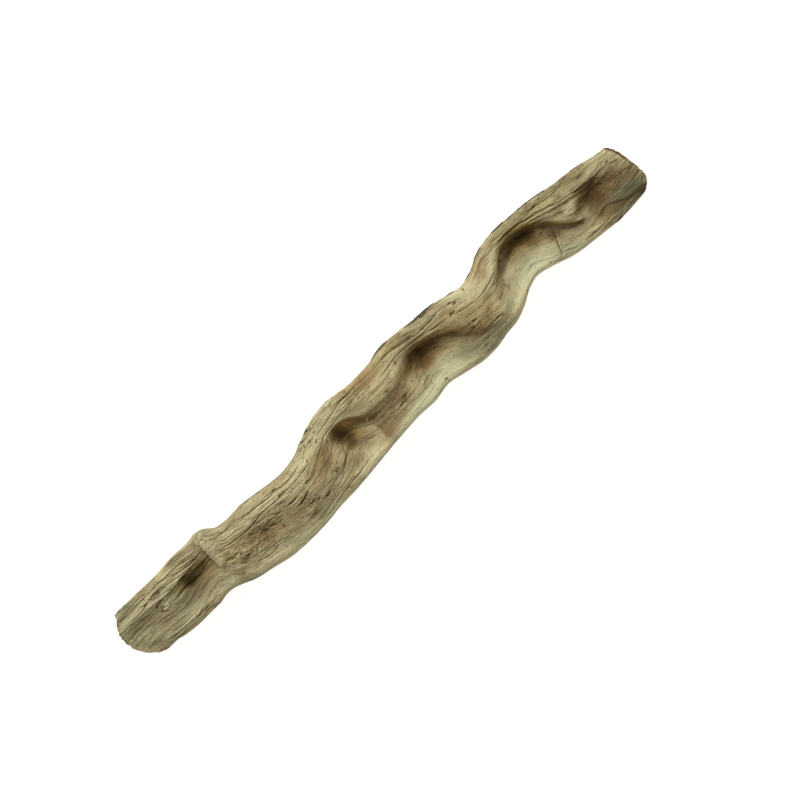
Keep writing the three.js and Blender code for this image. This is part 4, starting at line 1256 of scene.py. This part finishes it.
def floor_paper(paint):
    """Plain pale paper, matt, that gives back some of the room's light."""
    material, add = new_material("pale_floor_paper")
    add("OutputMaterial", {"Surface": add("BsdfPrincipled", {
        "Base Color": paint["floor"],
        "Roughness": 0.9,
        "Specular IOR Level": 0.1,
        "Emission Color": (1, 1, 1, 1),
        "Emission Strength": FLOOR_LIGHT,
    })})
    return material


def pick(what):
    """Deselects everything, then selects and activates one object."""
    bpy.ops.object.select_all(action="DESELECT")
    what.select_set(True)
    bpy.context.view_layer.objects.active = what


def values_of(collection, name, width, kind=float):
    """A row of numbers for each item of one of a mesh's collections."""
    values = np.empty(len(collection) * width, kind)
    collection.foreach_get(name, values)
    return values.reshape(-1, width)


def cut_along(wood, axis, pieces):
    """Divides every edge that runs along an axis into that many pieces."""
    pick(wood)
    mesh = wood.data
    bpy.ops.object.mode_set(mode="EDIT")
    bpy.ops.mesh.select_mode(type="EDGE")
    bpy.ops.mesh.select_all(action="DESELECT")
    bpy.ops.object.mode_set(mode="OBJECT")
    ends = values_of(mesh.vertices, "co", 3)[values_of(mesh.edges, "vertices", 2, int)]
    run = np.abs(ends[:, 1] - ends[:, 0])
    mesh.edges.foreach_set("select", run[:, axis] > run.sum(1) / 2)
    bpy.ops.object.mode_set(mode="EDIT")
    bpy.ops.mesh.subdivide(number_cuts=pieces - 1, quadcorner="INNERVERT")
    bpy.ops.object.mode_set(mode="OBJECT")


class VineSizes(bpy.types.PropertyGroup):
    relief: bpy.props.FloatProperty(
        name="Relief", description="How strongly the grain stands out of the wood",
        default=1.0, min=0.0, max=2.0,
    )
    distance: bpy.props.FloatProperty(
        name="Camera height", description="Height of the camera over the floor",
        default=2.0, min=0.8, max=6.0, unit="LENGTH", subtype="DISTANCE",
    )
    pixel: bpy.props.FloatProperty(
        name="Pixel", description="Real width that one pixel of the picture shows",
        default=0.5 / 700.8, min=0.0001, max=0.01, unit="LENGTH", subtype="DISTANCE", precision=6,
    )
    turn: bpy.props.FloatProperty(
        name="Turn", description="How far the stem's line is turned from level in the picture",
        default=math.radians(44.854), unit="ROTATION", subtype="ANGLE",
    )


# Every colour's label, what it is for, and its sRGB code.
COLOURS = {
    # Pale is bleached wood, and also painted light: on the lower rim, on walls that face from the window
    # and on the terraces' crests.
    "pale": ("Bleached wood", "Crests and rims that sun and rain have bleached", "#d3ca9b"),
    "straw": ("Bare wood", "The wood's usual colour", "#b9a977"),
    "dull": ("Dull wood", "Darker fibres between the crests", "#908056"),
    "brown": ("Brown stain", "Broad water stains", "#7b6642"),
    # The furrow colour is dirt and tannin; in furrows, splits and the terraces' feet it is also painted
    # shade.
    "furrow": ("Furrows", "The light that dirt and tannin leave in furrows and splits", "#7c6c4f"),
    # Soaked wood is water stain, and also painted shade under the ledges and lips and at the bottom of
    # the hollows.
    "soaked": ("Soaked wood", "The darkest stain, at the bottom of the hollows", "#523c1a"),
    "rust": ("Reddish stain", "Reddish bark stain left on the wood", "#94714a"),
    "green": ("Green-grey film", "Algae dried to a grey film on shaded slopes", "#77785a"),
    "honey": ("Honey-coloured wood", "Yellowish wood on the rims and beside the hollows", "#b9a262"),
    "blush": ("Blush", "Pinkish flecks of bare wood", "#c9a98a"),
    "lichen": ("Lichen", "Pale grey-green flecks", "#bbbf98"),
    # The warmth of the hollows is painted light, multiplied into the wood's colour.
    "glow": ("Warmth of the hollows", "Tint of the light that reaches the hollows' bottoms", "#fff0ce"),
    "chip": ("Chipped wood", "Fresh pale wood where it is chipped", "#d0bfa6"),
    "bark": ("Bark", "Thin dark bark left on the edges", "#473c2c"),
    "floor": ("Floor", "Plain pale floor", "#f4f4f2"),
}


class VineColours(bpy.types.PropertyGroup):
    __annotations__ = {
        name: bpy.props.FloatVectorProperty(
            name=label, description=text, default=linear(code), subtype="COLOR", size=3,
        )
        for name, (label, text, code) in COLOURS.items()
    }


def paints(scene):
    """The scene's colours, each with its full cover."""
    return {name: (*getattr(scene.vine_colours, name), 1) for name in COLOURS}


class VINE_OT_camera(bpy.types.Operator):
    """Look straight down on the stem, turned as in the picture"""

    bl_idname = "vine.camera"
    bl_label = "Camera"

    def execute(self, context):
        sizes = context.scene.vine_sizes
        bpy.ops.object.camera_add()
        camera = context.object
        camera.name = "camera"
        camera.data.sensor_width = 36
        camera.data.lens = camera.data.sensor_width * sizes.distance / (PICTURE * sizes.pixel)
        camera.data.clip_end = 20
        c, s = math.cos(sizes.turn), math.sin(sizes.turn)
        right, up = LEFT_OF_MIDDLE * sizes.pixel, BELOW_MIDDLE * sizes.pixel
        camera.location = (
            c * right + s * up + ALONG_SHIFT * MM,
            -s * right + c * up + SIDE_SHIFT * MM,
            sizes.distance + COUNTED_FROM,
        )
        camera.rotation_euler = (0, 0, -sizes.turn)
        context.scene.camera = camera
        return {"FINISHED"}


class VINE_OT_wood(bpy.types.Operator):
    """Grow the stem's finished surface out of a block"""

    bl_idname = "vine.wood"
    bl_label = "Wood"

    def execute(self, context):
        bpy.ops.object.select_all(action="DESELECT")
        bpy.ops.mesh.primitive_cube_add(size=2)
        wood = context.object
        wood.name = "vine_wood"
        for axis, pieces in DIVISIONS:
            cut_along(wood, axis, pieces)
        mesh = wood.data
        count = len(mesh.vertices)
        if count != 2 * (ALONG * ACROSS + ACROSS * THROUGH + THROUGH * ALONG) + 2:
            raise RuntimeError(f"the block has {count} corners, which is not what its cells need")
        places = values_of(mesh.vertices, "co", 3)
        stem = StemSurface(np.rint((places + 1) / 2 * [ALONG, ACROSS, THROUGH]).astype(int))
        mesh.vertices.foreach_set("co", (stem.points * MM).ravel())
        mesh.update()
        outward = values_of(mesh.vertices, "normal", 3)

        relief, fields = relief_of(stem, outward)
        relief = np.minimum(relief - np.percentile(relief, BELOW_CRESTS), HIGHEST_CREST)
        relief *= context.scene.vine_sizes.relief * ~(stem.on_cut & (stem.depth_in > 0))
        moved = stem.points + outward * relief[:, None]
        # The saw left the cuts a little rough, with fibre bundles torn short.
        _, side, high = stem.points.T
        torn = noise(side / 1.6, high / 1.3, 61) + 0.6 * noise(side / 0.7, high / 0.8, 62)
        inward = np.where(stem.block[:, 0] == 0, SAW_MARKS, -SAW_MARKS)
        moved[:, 0] += inward * (torn + 1.2) * stem.on_cut
        moved = np.clip(moved * MM, *np.array(cad_box))
        mesh.vertices.foreach_set("co", moved.ravel())

        # The straight wood before it grew: along it, and round a pole.
        turn = stem.ring * 2 * np.pi
        pole = POLE * (1 - stem.depth_in)
        grain = np.stack([stem.station, pole * np.cos(turn), pole * np.sin(turn)], -1)
        mesh.attributes.new("grain", "FLOAT_VECTOR", "POINT").data.foreach_set("vector", grain.ravel())
        for name, values in {**fields, "inside": stem.depth_in}.items():
            mesh.attributes.new(name, "FLOAT", "POINT").data.foreach_set("value", values)
        paint = paints(context.scene)
        mesh.materials.append(bare_wood(paint, fields))
        mesh.materials.append(end_grain(paint))
        on_cut = stem.on_cut[values_of(mesh.polygons, "vertices", 4, int)].all(1)
        mesh.polygons.foreach_set("material_index", on_cut.astype(int))
        mesh.update()
        pick(wood)
        bpy.ops.object.shade_smooth()
        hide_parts("vine")
        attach(wood, "root")
        return {"FINISHED"}


class VINE_OT_stage(bpy.types.Operator):
    """Lay the pale floor and set the soft studio light"""

    bl_idname = "vine.stage"
    bl_label = "Floor and light"

    def execute(self, context):
        scene = context.scene
        bpy.ops.object.select_all(action="DESELECT")
        bpy.ops.mesh.primitive_plane_add(size=FLOOR_SIZE)
        floor = context.object
        floor.name = "floor"
        floor.data.materials.append(floor_paper(paints(scene)))

        world = bpy.data.worlds.new("studio")
        world.use_nodes = True
        backdrop = world.node_tree.nodes["Background"]
        backdrop.inputs["Color"].default_value = (1, 1, 1, 1)
        backdrop.inputs["Strength"].default_value = ROOM_LIGHT
        scene.world = world

        place = Vector(WINDOW)
        bpy.ops.object.light_add(type="AREA", location=place)
        window = context.object
        window.name = "window_light"
        window.data.energy = WINDOW_POWER
        window.data.size = WINDOW_SIZE
        window.rotation_euler = (-place).to_track_quat("-Z", "Y").to_euler()
        scene.view_settings.view_transform = "Standard"
        scene.view_settings.look = "None"
        return {"FINISHED"}


class VINE_PT_panel(bpy.types.Panel):
    """Sizes, colours and steps of the liana vine"""

    bl_idname = "VINE_PT_panel"
    bl_label = "Liana vine"
    bl_space_type = "VIEW_3D"
    bl_region_type = "UI"
    bl_category = "Liana"

    def draw(self, context):
        for group in (context.scene.vine_sizes, context.scene.vine_colours):
            box = self.layout.box()
            for name in group.__annotations__:
                box.prop(group, name)
        for step in STEPS:
            self.layout.operator(step.bl_idname)


STEPS = (VINE_OT_camera, VINE_OT_wood, VINE_OT_stage)
CLASSES = (VineSizes, VineColours, *STEPS, VINE_PT_panel)


def register():
    for cls in CLASSES:
        bpy.utils.register_class(cls)
    bpy.types.Scene.vine_sizes = bpy.props.PointerProperty(type=VineSizes)
    bpy.types.Scene.vine_colours = bpy.props.PointerProperty(type=VineColours)


def unregister():
    del bpy.types.Scene.vine_colours
    del bpy.types.Scene.vine_sizes
    for cls in reversed(CLASSES):
        bpy.utils.unregister_class(cls)


def main():
    register()
    bpy.ops.vine.camera()
    bpy.ops.vine.wood()
    bpy.ops.vine.stage()


if __name__ == "__main__":
    main()
